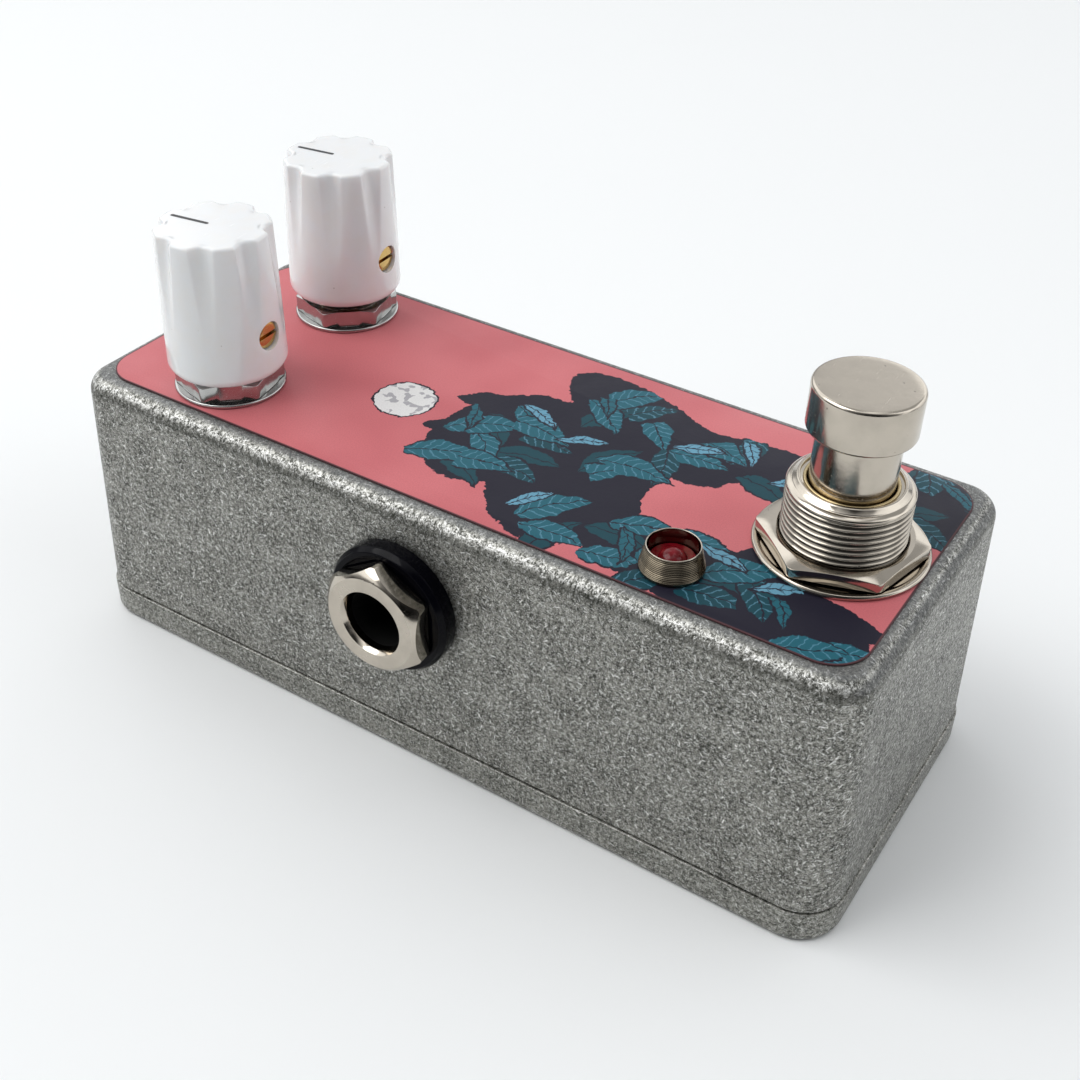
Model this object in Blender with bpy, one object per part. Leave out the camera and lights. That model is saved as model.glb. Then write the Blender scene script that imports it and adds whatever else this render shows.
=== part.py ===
"""Small guitar effects pedal: die-cast box with two knobs, a lamp, a footswitch, two jacks and a power socket.

Units are metres. The origin is the centre of the lid's underside, +Z is up, +Y is the knob end and
-Y the footswitch end, so -X is the left side for a player who stands at the footswitch end.
"""

import math

import bmesh
import bpy
from mathutils import Matrix, Vector

MM = 0.001

# Box and lid
BOX_WIDTH = 38.5 * MM
BOX_LENGTH = 92.6 * MM
BOX_HEIGHT = 31.0 * MM
LID_HEIGHT = 3.73 * MM
SEAM_GAP = 0.05 * MM
SEAM_STEP = 0.2 * MM
DRAFT = math.radians(2.0)
WALL = 1.9 * MM
PANEL = 2.0 * MM
CORNER_RADIUS = 4.7 * MM
TOP_FILLET = 2.0 * MM
BOSS_RADIUS = 3.3 * MM
BOSS_X = 14.7 * MM
BOSS_Y = 41.7 * MM
LID_SCREW_RADIUS = 1.3 * MM

# Graphic label
LABEL_HALF_WIDTH = 16.1 * MM
LABEL_HALF_LENGTH = 43.4 * MM
LABEL_CORNER = 3.95 * MM
LABEL_THICKNESS = 0.14 * MM

# Controls on the top panel
KNOB_X = 9.8 * MM
KNOB_Y = 30.4 * MM
KNOB_BASE = {"left": 33.7 * MM, "right": 34.4 * MM}
KNOB_HEIGHT = 15.4 * MM
KNOB_SKIRT_RADIUS = 6.25 * MM
KNOB_TOP_RADIUS = 5.9 * MM
KNOB_FLUTES = 8
KNOB_FLUTE_DEPTH = 0.75 * MM
KNOB_FLUTE_START = 3.4 * MM
KNOB_POINTER_DEG = 98.0
SET_SCREW_HEIGHT = 4.75 * MM
SET_SCREW_DEG = -88.0
SET_SCREW_RADIUS = 1.45 * MM
SHAFT_RADIUS = 2.9 * MM
SHAFT_TOP = 45.2 * MM
POT_BUSH_RADIUS = 3.45 * MM
POT_BODY_TOP = 28.5 * MM
POT_BODY_BOTTOM = 22.0 * MM

SWITCH_Y = -35.2 * MM
SWITCH_BUSH_RADIUS = 5.85 * MM
SWITCH_BUSH_TOP = 38.8 * MM
SWITCH_CAP_RADIUS = 4.95 * MM
SWITCH_CAP_TOP = 48.5 * MM
SWITCH_CAP_BOTTOM = 44.0 * MM
SWITCH_STEM_RADIUS = 3.9 * MM
SWITCH_STEM_BOTTOM = 24.3 * MM
SWITCH_BODY_TOP = 25.5 * MM
SWITCH_BODY_BOTTOM = 12.0 * MM

LAMP_X = -11.63 * MM
LAMP_Y = -23.9 * MM

# Sockets: jacks on the long sides, power socket on the knob end
JACK_Z = 19.9 * MM
OUTPUT_JACK_Y = 2.1 * MM
INPUT_JACK_Y = -13.2 * MM
JACK_BORE_RADIUS = 3.35 * MM
JACK_TUBE_RADIUS = 4.6 * MM
JACK_BODY_DEPTH = 26.0 * MM
POWER_Z = 13.5 * MM
POWER_BARREL_RADIUS = 5.9 * MM

TOP = BOX_HEIGHT
CEILING = BOX_HEIGHT - PANEL
LABEL_TOP = TOP + 0.04 * MM + LABEL_THICKNESS


def material(name, colour, roughness, metallic=0.0):
    """One Principled material."""
    made = bpy.data.materials.new(name)
    made.use_nodes = True
    shader = made.node_tree.nodes["Principled BSDF"]
    shader.inputs["Base Color"].default_value = (*colour, 1.0)
    shader.inputs["Roughness"].default_value = roughness
    shader.inputs["Metallic"].default_value = metallic
    made.diffuse_color = (*colour, 1.0)
    return made


def clear_scene():
    for obj in list(bpy.data.objects):
        bpy.data.objects.remove(obj, do_unlink=True)


def add_object(name, bm, finish, location=(0, 0, 0), rotation=(0, 0, 0)):
    """Turns a bmesh into a smooth-shaded object with sharp edges kept."""
    bmesh.ops.recalc_face_normals(bm, faces=bm.faces)
    mesh = bpy.data.meshes.new(name)
    bm.to_mesh(mesh)
    bm.free()
    mesh.shade_smooth()
    mesh.set_sharp_from_angle(angle=math.radians(35))
    obj = bpy.data.objects.new(name, mesh)
    obj.location = location
    obj.rotation_euler = rotation
    if finish:
        mesh.materials.append(finish)
    bpy.context.scene.collection.objects.link(obj)
    return obj


def as_cutter(obj):
    obj.hide_render = True
    obj.display_type = "WIRE"
    return obj


def combine(target, tool, operation):
    """Adds an exact Boolean of the tool to the target, and hides the tool."""
    modifier = target.modifiers.new(operation.lower(), "BOOLEAN")
    modifier.operation = operation
    modifier.solver = "EXACT"
    modifier.object = as_cutter(tool)
    return target


def rounded_rectangle(half_x, half_y, radius, steps=6):
    """The outline's points, anticlockwise from the +X side."""
    points = []
    centres = ((1, 1), (-1, 1), (-1, -1), (1, -1))
    for quarter, (sx, sy) in enumerate(centres):
        for step in range(steps + 1):
            angle = math.radians(90) * (quarter + step / steps)
            x = sx * (half_x - radius) + radius * math.cos(angle)
            y = sy * (half_y - radius) + radius * math.sin(angle)
            points.append((x, y))
    return points


def lofted(loops):
    """A closed bmesh through loops of equal count, each a list of 3-D points, capped at both ends."""
    bm = bmesh.new()
    rings = [[bm.verts.new(point) for point in loop] for loop in loops]
    for low, high in zip(rings, rings[1:]):
        for i in range(len(low)):
            j = (i + 1) % len(low)
            bm.faces.new((low[i], low[j], high[j], high[i]))
    bm.faces.new(list(reversed(rings[0])))
    bm.faces.new(rings[-1])
    return bm


def rounded_prism(levels, steps=6):
    """A closed bmesh through rounded rectangles given as (half_x, half_y, radius, z)."""
    loops = []
    for half_x, half_y, radius, z in levels:
        outline = rounded_rectangle(half_x, half_y, radius, steps)
        loops.append([(x, y, z) for x, y in outline])
    return lofted(loops)


def turned_mesh(profile, segments):
    """A closed bmesh from (radius, z) points spun about Z. An open profile starts and ends on the axis."""
    bm = bmesh.new()
    verts = [bm.verts.new((radius, 0, z)) for radius, z in profile]
    edges = [bm.edges.new(pair) for pair in zip(verts, verts[1:])]
    if profile[0][0] > 0:
        edges.append(bm.edges.new((verts[-1], verts[0])))
    full_turn = 2 * math.pi
    bmesh.ops.spin(bm, geom=verts + edges, cent=(0, 0, 0), axis=(0, 0, 1), angle=full_turn,
                   steps=segments, use_merge=True, use_duplicate=False)
    bmesh.ops.remove_doubles(bm, verts=bm.verts, dist=1e-6)
    return bm


def turned(name, profile, finish, location, rotation=(0, 0, 0), segments=32):
    return add_object(name, turned_mesh(profile, segments), finish, location, rotation)


def box(name, low, high, finish, location=(0, 0, 0), rotation=(0, 0, 0)):
    """A plain block between two corners, in the object's own frame."""
    bm = bmesh.new()
    bmesh.ops.create_cube(bm, size=1.0)
    size = Vector(high) - Vector(low)
    middle = (Vector(high) + Vector(low)) / 2
    bmesh.ops.transform(bm, matrix=Matrix.Translation(middle) @ Matrix.Diagonal((*size, 1)), verts=bm.verts)
    return add_object(name, bm, finish, location, rotation)


def rod(name, radius, low, high, finish, location=(0, 0, 0), rotation=(0, 0, 0), segments=32):
    """A plain cylinder about the object's Z axis."""
    profile = [(0, low), (radius, low), (radius, high), (0, high)]
    return turned(name, profile, finish, location, rotation, segments)


def hexagon_nut(name, across_flats, low, high, bore, finish, location, rotation=(0, 0, 0), phase=0.0,
                chamfer=0.35 * MM, segments=24):
    """A hexagonal nut about Z with both faces chamfered; phase is one corner's angle in degrees."""
    corner = across_flats / math.sqrt(3)
    corners = [math.radians(phase + 60 * k) for k in range(6)]
    loops = [[(corner * math.cos(a), corner * math.sin(a), z) for a in corners] for z in (low, high)]
    nut = add_object(name, lofted(loops), finish, location, rotation)
    flat = across_flats / 2 - 0.1 * MM
    lens = [(0, low), (flat, low), (corner + 0.1 * MM, low + chamfer),
            (corner + 0.1 * MM, high - chamfer), (flat, high), (0, high)]
    combine(nut, turned(f"{name}_chamfer_tool", lens, None, location, rotation, 36), "INTERSECT")
    hole = rod(f"{name}_bore_tool", bore, low - MM, high + MM, None, location, rotation, segments)
    combine(nut, hole, "DIFFERENCE")
    return nut


def draft_inset(z):
    """How far the box's side stands inside the lid's outline at height z."""
    return SEAM_STEP + (z - LID_HEIGHT) * math.tan(DRAFT)


def side_x(z):
    return BOX_WIDTH / 2 - draft_inset(z)


def end_y(z):
    return BOX_LENGTH / 2 - draft_inset(z)


def box_level(z, extra=0.0):
    inset = draft_inset(z) + extra
    return (BOX_WIDTH / 2 - inset, BOX_LENGTH / 2 - inset, CORNER_RADIUS - inset, z)


def make_enclosure_box(finish):
    """The drafted shell: filleted top, open underneath, four screw bosses and its drilled holes."""
    bottom = LID_HEIGHT + SEAM_GAP
    shoulder = TOP - TOP_FILLET
    levels = [box_level(bottom), box_level(shoulder)]
    fillet_steps = 4
    for step in range(1, fillet_steps + 1):
        angle = math.radians(90) * step / fillet_steps
        inset = draft_inset(shoulder) + TOP_FILLET * (1 - math.cos(angle))
        z = shoulder + TOP_FILLET * math.sin(angle)
        levels.append((BOX_WIDTH / 2 - inset, BOX_LENGTH / 2 - inset, CORNER_RADIUS - inset, z))
    shell = add_object("enclosure_box", rounded_prism(levels), finish)

    cavity_radius = 2.4 * MM
    cavity = []
    for z, extra in ((bottom - MM, 0.0), (CEILING - MM, 0.0), (CEILING - 0.3 * MM, 0.3 * MM), (CEILING, MM)):
        inset = draft_inset(z) + WALL + extra
        cavity.append((BOX_WIDTH / 2 - inset, BOX_LENGTH / 2 - inset, cavity_radius, z))
    hollow = add_object("cavity_tool", rounded_prism(cavity, 4), None)
    combine(shell, hollow, "DIFFERENCE")
    for k, (sx, sy) in enumerate(((1, 1), (-1, 1), (-1, -1), (1, -1))):
        place = (sx * BOSS_X, sy * BOSS_Y, 0)
        boss = rod(f"boss_tool_{k}", BOSS_RADIUS, bottom - 2 * MM, TOP, None, place, segments=24)
        combine(hollow, boss, "DIFFERENCE")
        screw_hole = rod(f"boss_hole_tool_{k}", LID_SCREW_RADIUS + 0.08 * MM, bottom - MM, 16 * MM, None, place,
                         segments=12)
        combine(shell, screw_hole, "DIFFERENCE")

    panel_holes = [("pot_hole_left", 3.65, -KNOB_X, KNOB_Y), ("pot_hole_right", 3.65, KNOB_X, KNOB_Y),
                   ("switch_hole", 6.05, 0, SWITCH_Y), ("lamp_hole", 2.45, LAMP_X, LAMP_Y)]
    for name, radius, x, y in panel_holes:
        tool = rod(f"{name}_tool", radius * MM, CEILING - MM, TOP + MM, None, (x, y, 0))
        combine(shell, tool, "DIFFERENCE")
    reach = 4 * MM
    for name, place, turn, radius in (
            ("output_hole", output_jack_place(), jack_turn(-1), 4.8 * MM),
            ("input_hole", input_jack_place(), jack_turn(1), 4.8 * MM),
            ("power_hole", power_place(), power_turn(), 6.05 * MM)):
        tool = rod(f"{name}_tool", radius, -reach, reach, None, place, turn)
        combine(shell, tool, "DIFFERENCE")
    return shell


def make_lid(finish):
    """The lid: rounded bottom edge, shallow pocket, locating lips and countersunk screw holes."""
    round_over = 0.7 * MM
    levels = []
    for step in range(4):
        angle = math.radians(90) * step / 3
        inset = round_over * (1 - math.sin(angle))
        z = round_over * (1 - math.cos(angle))
        levels.append((BOX_WIDTH / 2 - inset, BOX_LENGTH / 2 - inset, CORNER_RADIUS - inset, z))
    levels.append((BOX_WIDTH / 2, BOX_LENGTH / 2, CORNER_RADIUS, LID_HEIGHT))
    lid = add_object("enclosure_lid", rounded_prism(levels), finish)

    plate = 1.9 * MM
    pocket = [(15.3 * MM, 37 * MM, 2 * MM, plate), (15.5 * MM, 37.2 * MM, 2 * MM, LID_HEIGHT + MM)]
    combine(lid, add_object("pocket_tool", rounded_prism(pocket, 3), None), "DIFFERENCE")
    lip_low = LID_HEIGHT - 0.4 * MM
    lip_high = LID_HEIGHT + 1.3 * MM
    for sign in (-1, 1):
        x_near, x_far = sorted((sign * 15.75 * MM, sign * 16.8 * MM))
        side = box(f"side_lip_tool_{sign}", (x_near, -36.5 * MM, lip_low), (x_far, 36.5 * MM, lip_high), None)
        combine(lid, side, "UNION")
        y_near, y_far = sorted((sign * 42.6 * MM, sign * 43.8 * MM))
        end = box(f"end_lip_tool_{sign}", (-10.5 * MM, y_near, lip_low), (10.5 * MM, y_far, lip_high), None)
        combine(lid, end, "UNION")
    sink = [(0, -MM), (4.15 * MM, -MM), (1.7 * MM, 1.6 * MM), (1.7 * MM, LID_HEIGHT + MM), (0, LID_HEIGHT + MM)]
    for k, (sx, sy) in enumerate(((1, 1), (-1, 1), (-1, -1), (1, -1))):
        tool = turned(f"countersink_tool_{k}", sink, None, (sx * BOSS_X, sy * BOSS_Y, 0), segments=20)
        combine(lid, tool, "DIFFERENCE")
    return lid


def make_lid_screws(finish):
    """Four countersunk cross-head screws that run up into the bosses."""
    head_face = 0.15 * MM
    profile = [(0, head_face), (2.85 * MM, head_face), (2.85 * MM, 0.3 * MM), (LID_SCREW_RADIUS, 1.75 * MM),
               (LID_SCREW_RADIUS, 12 * MM), (0.8 * MM, 12.6 * MM), (0, 12.6 * MM)]
    for k, (sx, sy) in enumerate(((1, 1), (-1, 1), (-1, -1), (1, -1)), start=1):
        place = (sx * BOSS_X, sy * BOSS_Y, 0)
        screw = turned(f"lid_screw_{k}", profile, finish, place, segments=16)
        for axis, turn in (("a", 45), ("b", 135)):
            arm = box(f"lid_screw_{k}_recess_{axis}", (-1.6 * MM, -0.3 * MM, -MM), (1.6 * MM, 0.3 * MM, 1.1 * MM),
                      None, place, (0, 0, math.radians(turn)))
            combine(screw, arm, "DIFFERENCE")


def make_label(finish):
    """The thin printed label, with a hole for each control."""
    low = LABEL_TOP - LABEL_THICKNESS
    levels = [(LABEL_HALF_WIDTH, LABEL_HALF_LENGTH, LABEL_CORNER, z) for z in (low, LABEL_TOP)]
    label = add_object("graphic_label", rounded_prism(levels), finish)
    holes = [("left", 3.7, -KNOB_X, KNOB_Y), ("right", 3.7, KNOB_X, KNOB_Y),
             ("switch", 6.1, 0, SWITCH_Y), ("lamp", 2.5, LAMP_X, LAMP_Y)]
    for name, radius, x, y in holes:
        tool = rod(f"label_{name}_tool", radius * MM, low - MM, LABEL_TOP + MM, None, (x, y, 0), segments=24)
        combine(label, tool, "DIFFERENCE")
    return label


def knob_radius(height):
    """Outer radius of the knob's ridges at a height above its base: a straight taper above a round foot."""
    foot = 1.0 * MM
    if height < foot:
        drop = 1 - height / foot
        return KNOB_SKIRT_RADIUS - 0.55 * MM * drop * drop
    taper = (height - foot) / (KNOB_HEIGHT - foot)
    return KNOB_SKIRT_RADIUS + (KNOB_TOP_RADIUS - KNOB_SKIRT_RADIUS) * taper


def knob_loops():
    """Rings of the fluted knob: the flutes start above the skirt and deepen towards the top."""
    per_flute = 8
    count = KNOB_FLUTES * per_flute
    flute_shape = (0.0, 0.0, 0.0, 0.7, 1.0, 0.7, 0.0, 0.0)
    heights = [0, 0.35 * MM, 1.0 * MM, KNOB_FLUTE_START, 6.5 * MM, 10.5 * MM, KNOB_HEIGHT - 0.35 * MM, KNOB_HEIGHT]
    loops = []
    for height in heights:
        run = max(0.0, (height - KNOB_FLUTE_START) / (KNOB_HEIGHT - KNOB_FLUTE_START))
        rim = 0.35 * MM if height == KNOB_HEIGHT else 0.0
        loop = []
        for i in range(count):
            angle = math.radians(KNOB_POINTER_DEG) + 2 * math.pi * i / count
            radius = knob_radius(height) - rim - KNOB_FLUTE_DEPTH * run * flute_shape[i % per_flute]
            loop.append((radius * math.cos(angle), radius * math.sin(angle), height))
        loops.append(loop)
    return loops


def make_knob(side, plastic, brass, steel):
    """A fluted knob with its brass insert, set screw and potentiometer shaft; origins on the turning axis."""
    x = KNOB_X if side == "right" else -KNOB_X
    base = (x, KNOB_Y, KNOB_BASE[side])
    knob = add_object(f"knob_{side}", lofted(knob_loops()), plastic, base)
    recess = [(0, -MM), (4.9 * MM, -MM), (4.9 * MM, 2.2 * MM), (3.95 * MM, 2.2 * MM), (3.95 * MM, 12.6 * MM),
              (0, 12.6 * MM)]
    combine(knob, turned(f"knob_{side}_recess", recess, None, base, segments=24), "DIFFERENCE")

    insert_outer = 3.85 * MM
    insert_bore = 3.0 * MM
    wall = [(insert_bore, 2.4 * MM), (insert_outer, 2.4 * MM), (insert_outer, 12.3 * MM), (insert_bore, 12.3 * MM)]
    insert = turned(f"knob_insert_{side}", wall, brass, base, segments=24)

    # The set screw lies along its own Z axis, which points out of the knob's side.
    screw_at = (x, KNOB_Y, KNOB_BASE[side] + SET_SCREW_HEIGHT)
    lie = Matrix.Rotation(math.radians(SET_SCREW_DEG), 3, "Z") @ Matrix.Rotation(math.radians(90), 3, "Y")
    turn = lie.to_euler()
    hole_radius = SET_SCREW_RADIUS + 0.08 * MM
    hole = rod(f"knob_{side}_screw_hole", hole_radius, 0.5 * MM, 8 * MM, None, screw_at, turn, 20)
    combine(knob, hole, "DIFFERENCE")
    insert_hole = rod(f"insert_{side}_screw_hole", hole_radius, 0.5 * MM, 8 * MM, None, screw_at, turn, 20)
    combine(insert, insert_hole, "DIFFERENCE")
    screw = rod(f"knob_set_screw_{side}", SET_SCREW_RADIUS, 3.05 * MM, 5.75 * MM, brass, screw_at, turn, 20)
    slot = box(f"set_screw_{side}_slot", (-0.2 * MM, -2 * MM, 5.15 * MM), (0.2 * MM, 2 * MM, 7 * MM), None,
               screw_at, turn)
    combine(screw, slot, "DIFFERENCE")

    shaft = [(0, 23.6 * MM), (3.5 * MM, 23.6 * MM), (3.5 * MM, 24.6 * MM), (SHAFT_RADIUS, 24.6 * MM),
             (SHAFT_RADIUS, SHAFT_TOP - 0.4 * MM), (SHAFT_RADIUS - 0.4 * MM, SHAFT_TOP), (0, SHAFT_TOP)]
    turned(f"pot_shaft_{side}", shaft, steel, (x, KNOB_Y, 0), segments=24)


def make_potentiometer(side, nickel, case):
    """The fixed parts of one potentiometer: body, threaded bushing, washer and nut."""
    x = KNOB_X if side == "right" else -KNOB_X
    axis = (x, KNOB_Y, 0)
    bore = SHAFT_RADIUS + 0.1 * MM
    bush = [(bore, POT_BODY_TOP + 0.05 * MM), (POT_BUSH_RADIUS, POT_BODY_TOP + 0.05 * MM),
            (POT_BUSH_RADIUS, 34.3 * MM), (POT_BUSH_RADIUS - 0.25 * MM, 34.6 * MM), (bore, 34.6 * MM)]
    turned(f"pot_bushing_{side}", bush, nickel, axis, segments=24)
    washer_low = LABEL_TOP + 0.05 * MM
    washer_high = washer_low + 0.4 * MM
    washer = [(3.6 * MM, washer_low), (5.85 * MM, washer_low), (5.85 * MM, washer_high), (3.6 * MM, washer_high)]
    turned(f"pot_washer_{side}", washer, nickel, axis, segments=36)
    nut_low = washer_high + 0.05 * MM
    hexagon_nut(f"pot_nut_{side}", 10 * MM, nut_low, nut_low + 1.8 * MM, 3.55 * MM, nickel, axis, phase=12)

    body = box(f"pot_body_{side}", (-4.8 * MM, -5.6 * MM, POT_BODY_BOTTOM), (4.8 * MM, 5.6 * MM, POT_BODY_TOP),
               case, axis)
    hollow = [(0, 23 * MM), (3.9 * MM, 23 * MM), (3.9 * MM, 25.2 * MM), (3.1 * MM, 25.2 * MM),
              (3.1 * MM, POT_BODY_TOP + MM), (0, POT_BODY_TOP + MM)]
    combine(body, turned(f"pot_hollow_{side}", hollow, None, axis, segments=20), "DIFFERENCE")


def make_lamp(nickel, lens):
    """The turned lamp bezel, its nut under the panel and the domed lamp inside it."""
    axis = (LAMP_X, LAMP_Y, 0)
    seat = LABEL_TOP + 0.05 * MM
    rim = 33.75 * MM
    bore = 1.65 * MM
    bezel = [(bore, 26.4 * MM), (2.3 * MM, 26.4 * MM), (2.3 * MM, seat), (3.07 * MM, seat),
             (3.07 * MM, seat + 0.35 * MM), (2.53 * MM, rim), (2.3 * MM, rim), (2.0 * MM, rim - 0.5 * MM),
             (bore, rim - 0.9 * MM)]
    turned("led_bezel", bezel, nickel, axis, segments=24)
    hexagon_nut("led_nut", 6.5 * MM, 27.2 * MM, 28.9 * MM, 2.38 * MM, nickel, axis, segments=20, chamfer=0.2 * MM)
    dome_top = rim - 0.55 * MM
    lamp_radius = 1.5 * MM
    profile = [(0, 27.0 * MM), (lamp_radius, 27.0 * MM)]
    dome_steps = 5
    for step in range(dome_steps):
        angle = math.radians(90) * step / dome_steps
        profile.append((lamp_radius * math.cos(angle), dome_top - lamp_radius * (1 - math.sin(angle))))
    profile.append((0, dome_top))
    turned("led_lamp", profile, lens, axis, segments=20)


def make_footswitch_top(nickel, steel):
    """What shows above the panel and clamps the switch to it."""
    axis = (0, SWITCH_Y, 0)
    bore = 4.2 * MM
    bush_low = 26.65 * MM
    chamfer_low = SWITCH_BUSH_TOP - 0.7 * MM
    bush = [(bore, bush_low), (SWITCH_BUSH_RADIUS, bush_low), (SWITCH_BUSH_RADIUS, chamfer_low),
            (SWITCH_BUSH_RADIUS - 0.5 * MM, SWITCH_BUSH_TOP), (bore, SWITCH_BUSH_TOP)]
    turned("footswitch_bush", bush, nickel, axis, segments=40)

    washer_low = LABEL_TOP + 0.05 * MM
    washer = [(6.0 * MM, washer_low), (8.27 * MM, washer_low), (8.27 * MM, washer_low + 0.3 * MM),
              (8.05 * MM, washer_low + 0.5 * MM), (6.0 * MM, washer_low + 0.5 * MM)]
    turned("footswitch_washer", washer, nickel, axis, segments=40)
    nut_low = washer_low + 0.55 * MM
    hexagon_nut("footswitch_nut", 14 * MM, nut_low, 33.15 * MM, 5.95 * MM, nickel, axis, phase=-12.3,
                chamfer=0.4 * MM, segments=40)

    hexagon_nut("footswitch_inner_nut", 14 * MM, 26.75 * MM, 28.25 * MM, 5.95 * MM, nickel, axis)
    make_lock_washer(steel, axis)

    edge = 0.45 * MM
    button = [(0, SWITCH_STEM_BOTTOM), (SWITCH_STEM_RADIUS, SWITCH_STEM_BOTTOM),
              (SWITCH_STEM_RADIUS, SWITCH_CAP_BOTTOM), (SWITCH_CAP_RADIUS - 0.3 * MM, SWITCH_CAP_BOTTOM),
              (SWITCH_CAP_RADIUS, SWITCH_CAP_BOTTOM + 0.3 * MM)]
    for step in range(4):
        angle = math.radians(90) * step / 3
        button.append((SWITCH_CAP_RADIUS - edge * (1 - math.cos(angle)),
                       SWITCH_CAP_TOP - edge * (1 - math.sin(angle))))
    button.append((0, SWITCH_CAP_TOP))
    turned("footswitch_button", button, nickel, axis, segments=40)


def make_lock_washer(steel, axis):
    """A toothed locking washer under the panel."""
    teeth = 12
    inner = 6.0 * MM
    low = 28.35 * MM
    high = 28.85 * MM
    outline = []
    for k in range(2 * teeth):
        angle = math.pi * k / teeth
        radius = 7.35 * MM if k % 2 else 6.8 * MM
        outline.append((radius * math.cos(angle), radius * math.sin(angle)))
    loops = [[(x, y, z) for x, y in outline] for z in (low, high)]
    washer = add_object("footswitch_lock_washer", lofted(loops), steel, axis)
    hole = rod("lock_washer_hole", inner, low - MM, high + MM, None, axis, segments=24)
    combine(washer, hole, "DIFFERENCE")


def make_footswitch_inside(steel, plastic, terminal_board, actuator_plastic):
    """The switch under the panel: bracket, body, actuator, return spring and terminal board."""
    axis = (0, SWITCH_Y, 0)
    plate_low = SWITCH_BODY_TOP + 0.1 * MM
    frame = box("footswitch_frame", (-9.1 * MM, -7.9 * MM, plate_low), (9.1 * MM, 7.9 * MM, 26.55 * MM), steel, axis)
    for sign in (-1, 1):
        near, far = sorted((sign * 8.3 * MM, sign * 9.1 * MM))
        leg = box(f"frame_leg_{sign}", (near, -6 * MM, 15 * MM), (far, 6 * MM, plate_low + 0.5 * MM), None, axis)
        combine(frame, leg, "UNION")
    combine(frame, rod("frame_hole", 4.3 * MM, 20 * MM, 30 * MM, None, axis, segments=24), "DIFFERENCE")

    body = box("footswitch_body", (-8.15 * MM, -7.8 * MM, SWITCH_BODY_BOTTOM), (8.15 * MM, 7.8 * MM, SWITCH_BODY_TOP),
               plastic, axis)
    hollow = rod("switch_hollow", 6.6 * MM, SWITCH_BODY_BOTTOM + 1.5 * MM, SWITCH_BODY_TOP + MM, None, axis,
                 segments=24)
    combine(body, hollow, "DIFFERENCE")

    actuator_low = 21.6 * MM
    actuator = [(0, actuator_low + 1.0 * MM), (3.0 * MM, actuator_low + 1.0 * MM), (3.0 * MM, actuator_low),
                (5.6 * MM, actuator_low), (5.6 * MM, 23.0 * MM), (3.6 * MM, 24.2 * MM), (0, 24.2 * MM)]
    turned("footswitch_actuator", actuator, actuator_plastic, axis, segments=24)
    make_return_spring(steel, axis, SWITCH_BODY_BOTTOM + 2.1 * MM, actuator_low - 0.5 * MM)

    board_top = SWITCH_BODY_BOTTOM - 0.1 * MM
    board_low = board_top - 1.3 * MM
    board = box("footswitch_terminals", (-8 * MM, -7.6 * MM, board_low), (8 * MM, 7.6 * MM, board_top),
                terminal_board, axis)
    for column in (-1, 0, 1):
        for row in (-1, 0, 1):
            x = column * 4.7 * MM
            y = row * 5.2 * MM
            lug = box(f"terminal_lug_{column}_{row}", (x - MM, y - 0.3 * MM, board_low - 4 * MM),
                      (x + MM, y + 0.3 * MM, board_low + 0.4 * MM), None, axis)
            combine(board, lug, "UNION")


def tube(name, points, radius, finish, location=(0, 0, 0), resolution=2):
    """A round bar through the points, with filled ends."""
    curve = bpy.data.curves.new(name, "CURVE")
    curve.dimensions = "3D"
    curve.bevel_depth = radius
    curve.bevel_resolution = resolution
    curve.use_fill_caps = True
    spline = curve.splines.new("POLY")
    spline.points.add(len(points) - 1)
    for place, point in zip(spline.points, points):
        place.co = (*point, 1)
    obj = bpy.data.objects.new(name, curve)
    obj.location = location
    curve.materials.append(finish)
    bpy.context.scene.collection.objects.link(obj)
    return obj


def make_return_spring(steel, axis, low, high):
    """The compression spring under the actuator."""
    turns = 3
    per_turn = 10
    radius = 4.3 * MM
    count = turns * per_turn
    points = []
    for i in range(count + 1):
        angle = 2 * math.pi * i / per_turn
        points.append((radius * math.cos(angle), radius * math.sin(angle), low + (high - low) * i / count))
    tube("footswitch_spring", points, 0.4 * MM, steel, axis, 1)


def jack_turn(side):
    """Turns local Z to the outward normal of the drafted side wall; side is -1 or 1."""
    return (0, side * (math.radians(90) - DRAFT), 0)


def output_jack_place():
    return (-side_x(JACK_Z), OUTPUT_JACK_Y, JACK_Z)


def input_jack_place():
    return (side_x(JACK_Z), INPUT_JACK_Y, JACK_Z)


def power_turn():
    """Turns local Z to the outward normal of the drafted knob-end wall."""
    return (DRAFT - math.radians(90), 0, 0)


def power_place():
    return (0, end_y(POWER_Z), POWER_Z)


def leaf(name, path, thickness, width, finish, pivot, place, turn):
    """A bent contact strip: a path of (x, z) points in the socket's frame, given thickness and width.

    The object's origin is put on the pivot, a point of the same plane."""
    half = thickness / 2
    sides = []
    for k, point in enumerate(path):
        before = Vector(path[max(k - 1, 0)])
        after = Vector(path[min(k + 1, len(path) - 1)])
        along = (after - before).normalized()
        across = Vector((-along.y, along.x)) * half
        sides.append((Vector(point) + across, Vector(point) - across))
    outline = [left for left, right in sides] + [right for left, right in reversed(sides)]
    loops = []
    for y in (-width / 2, width / 2):
        loops.append([(point.x - pivot[0], y, point.y - pivot[1]) for point in outline])
    shift = Matrix.Translation(place) @ turn_matrix(turn) @ Vector((pivot[0], 0, pivot[1]))
    return add_object(name, lofted(loops), finish, shift, turn)


def turn_matrix(turn):
    return Matrix.Rotation(turn[1], 4, "Y") @ Matrix.Rotation(turn[0], 4, "X")


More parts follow.
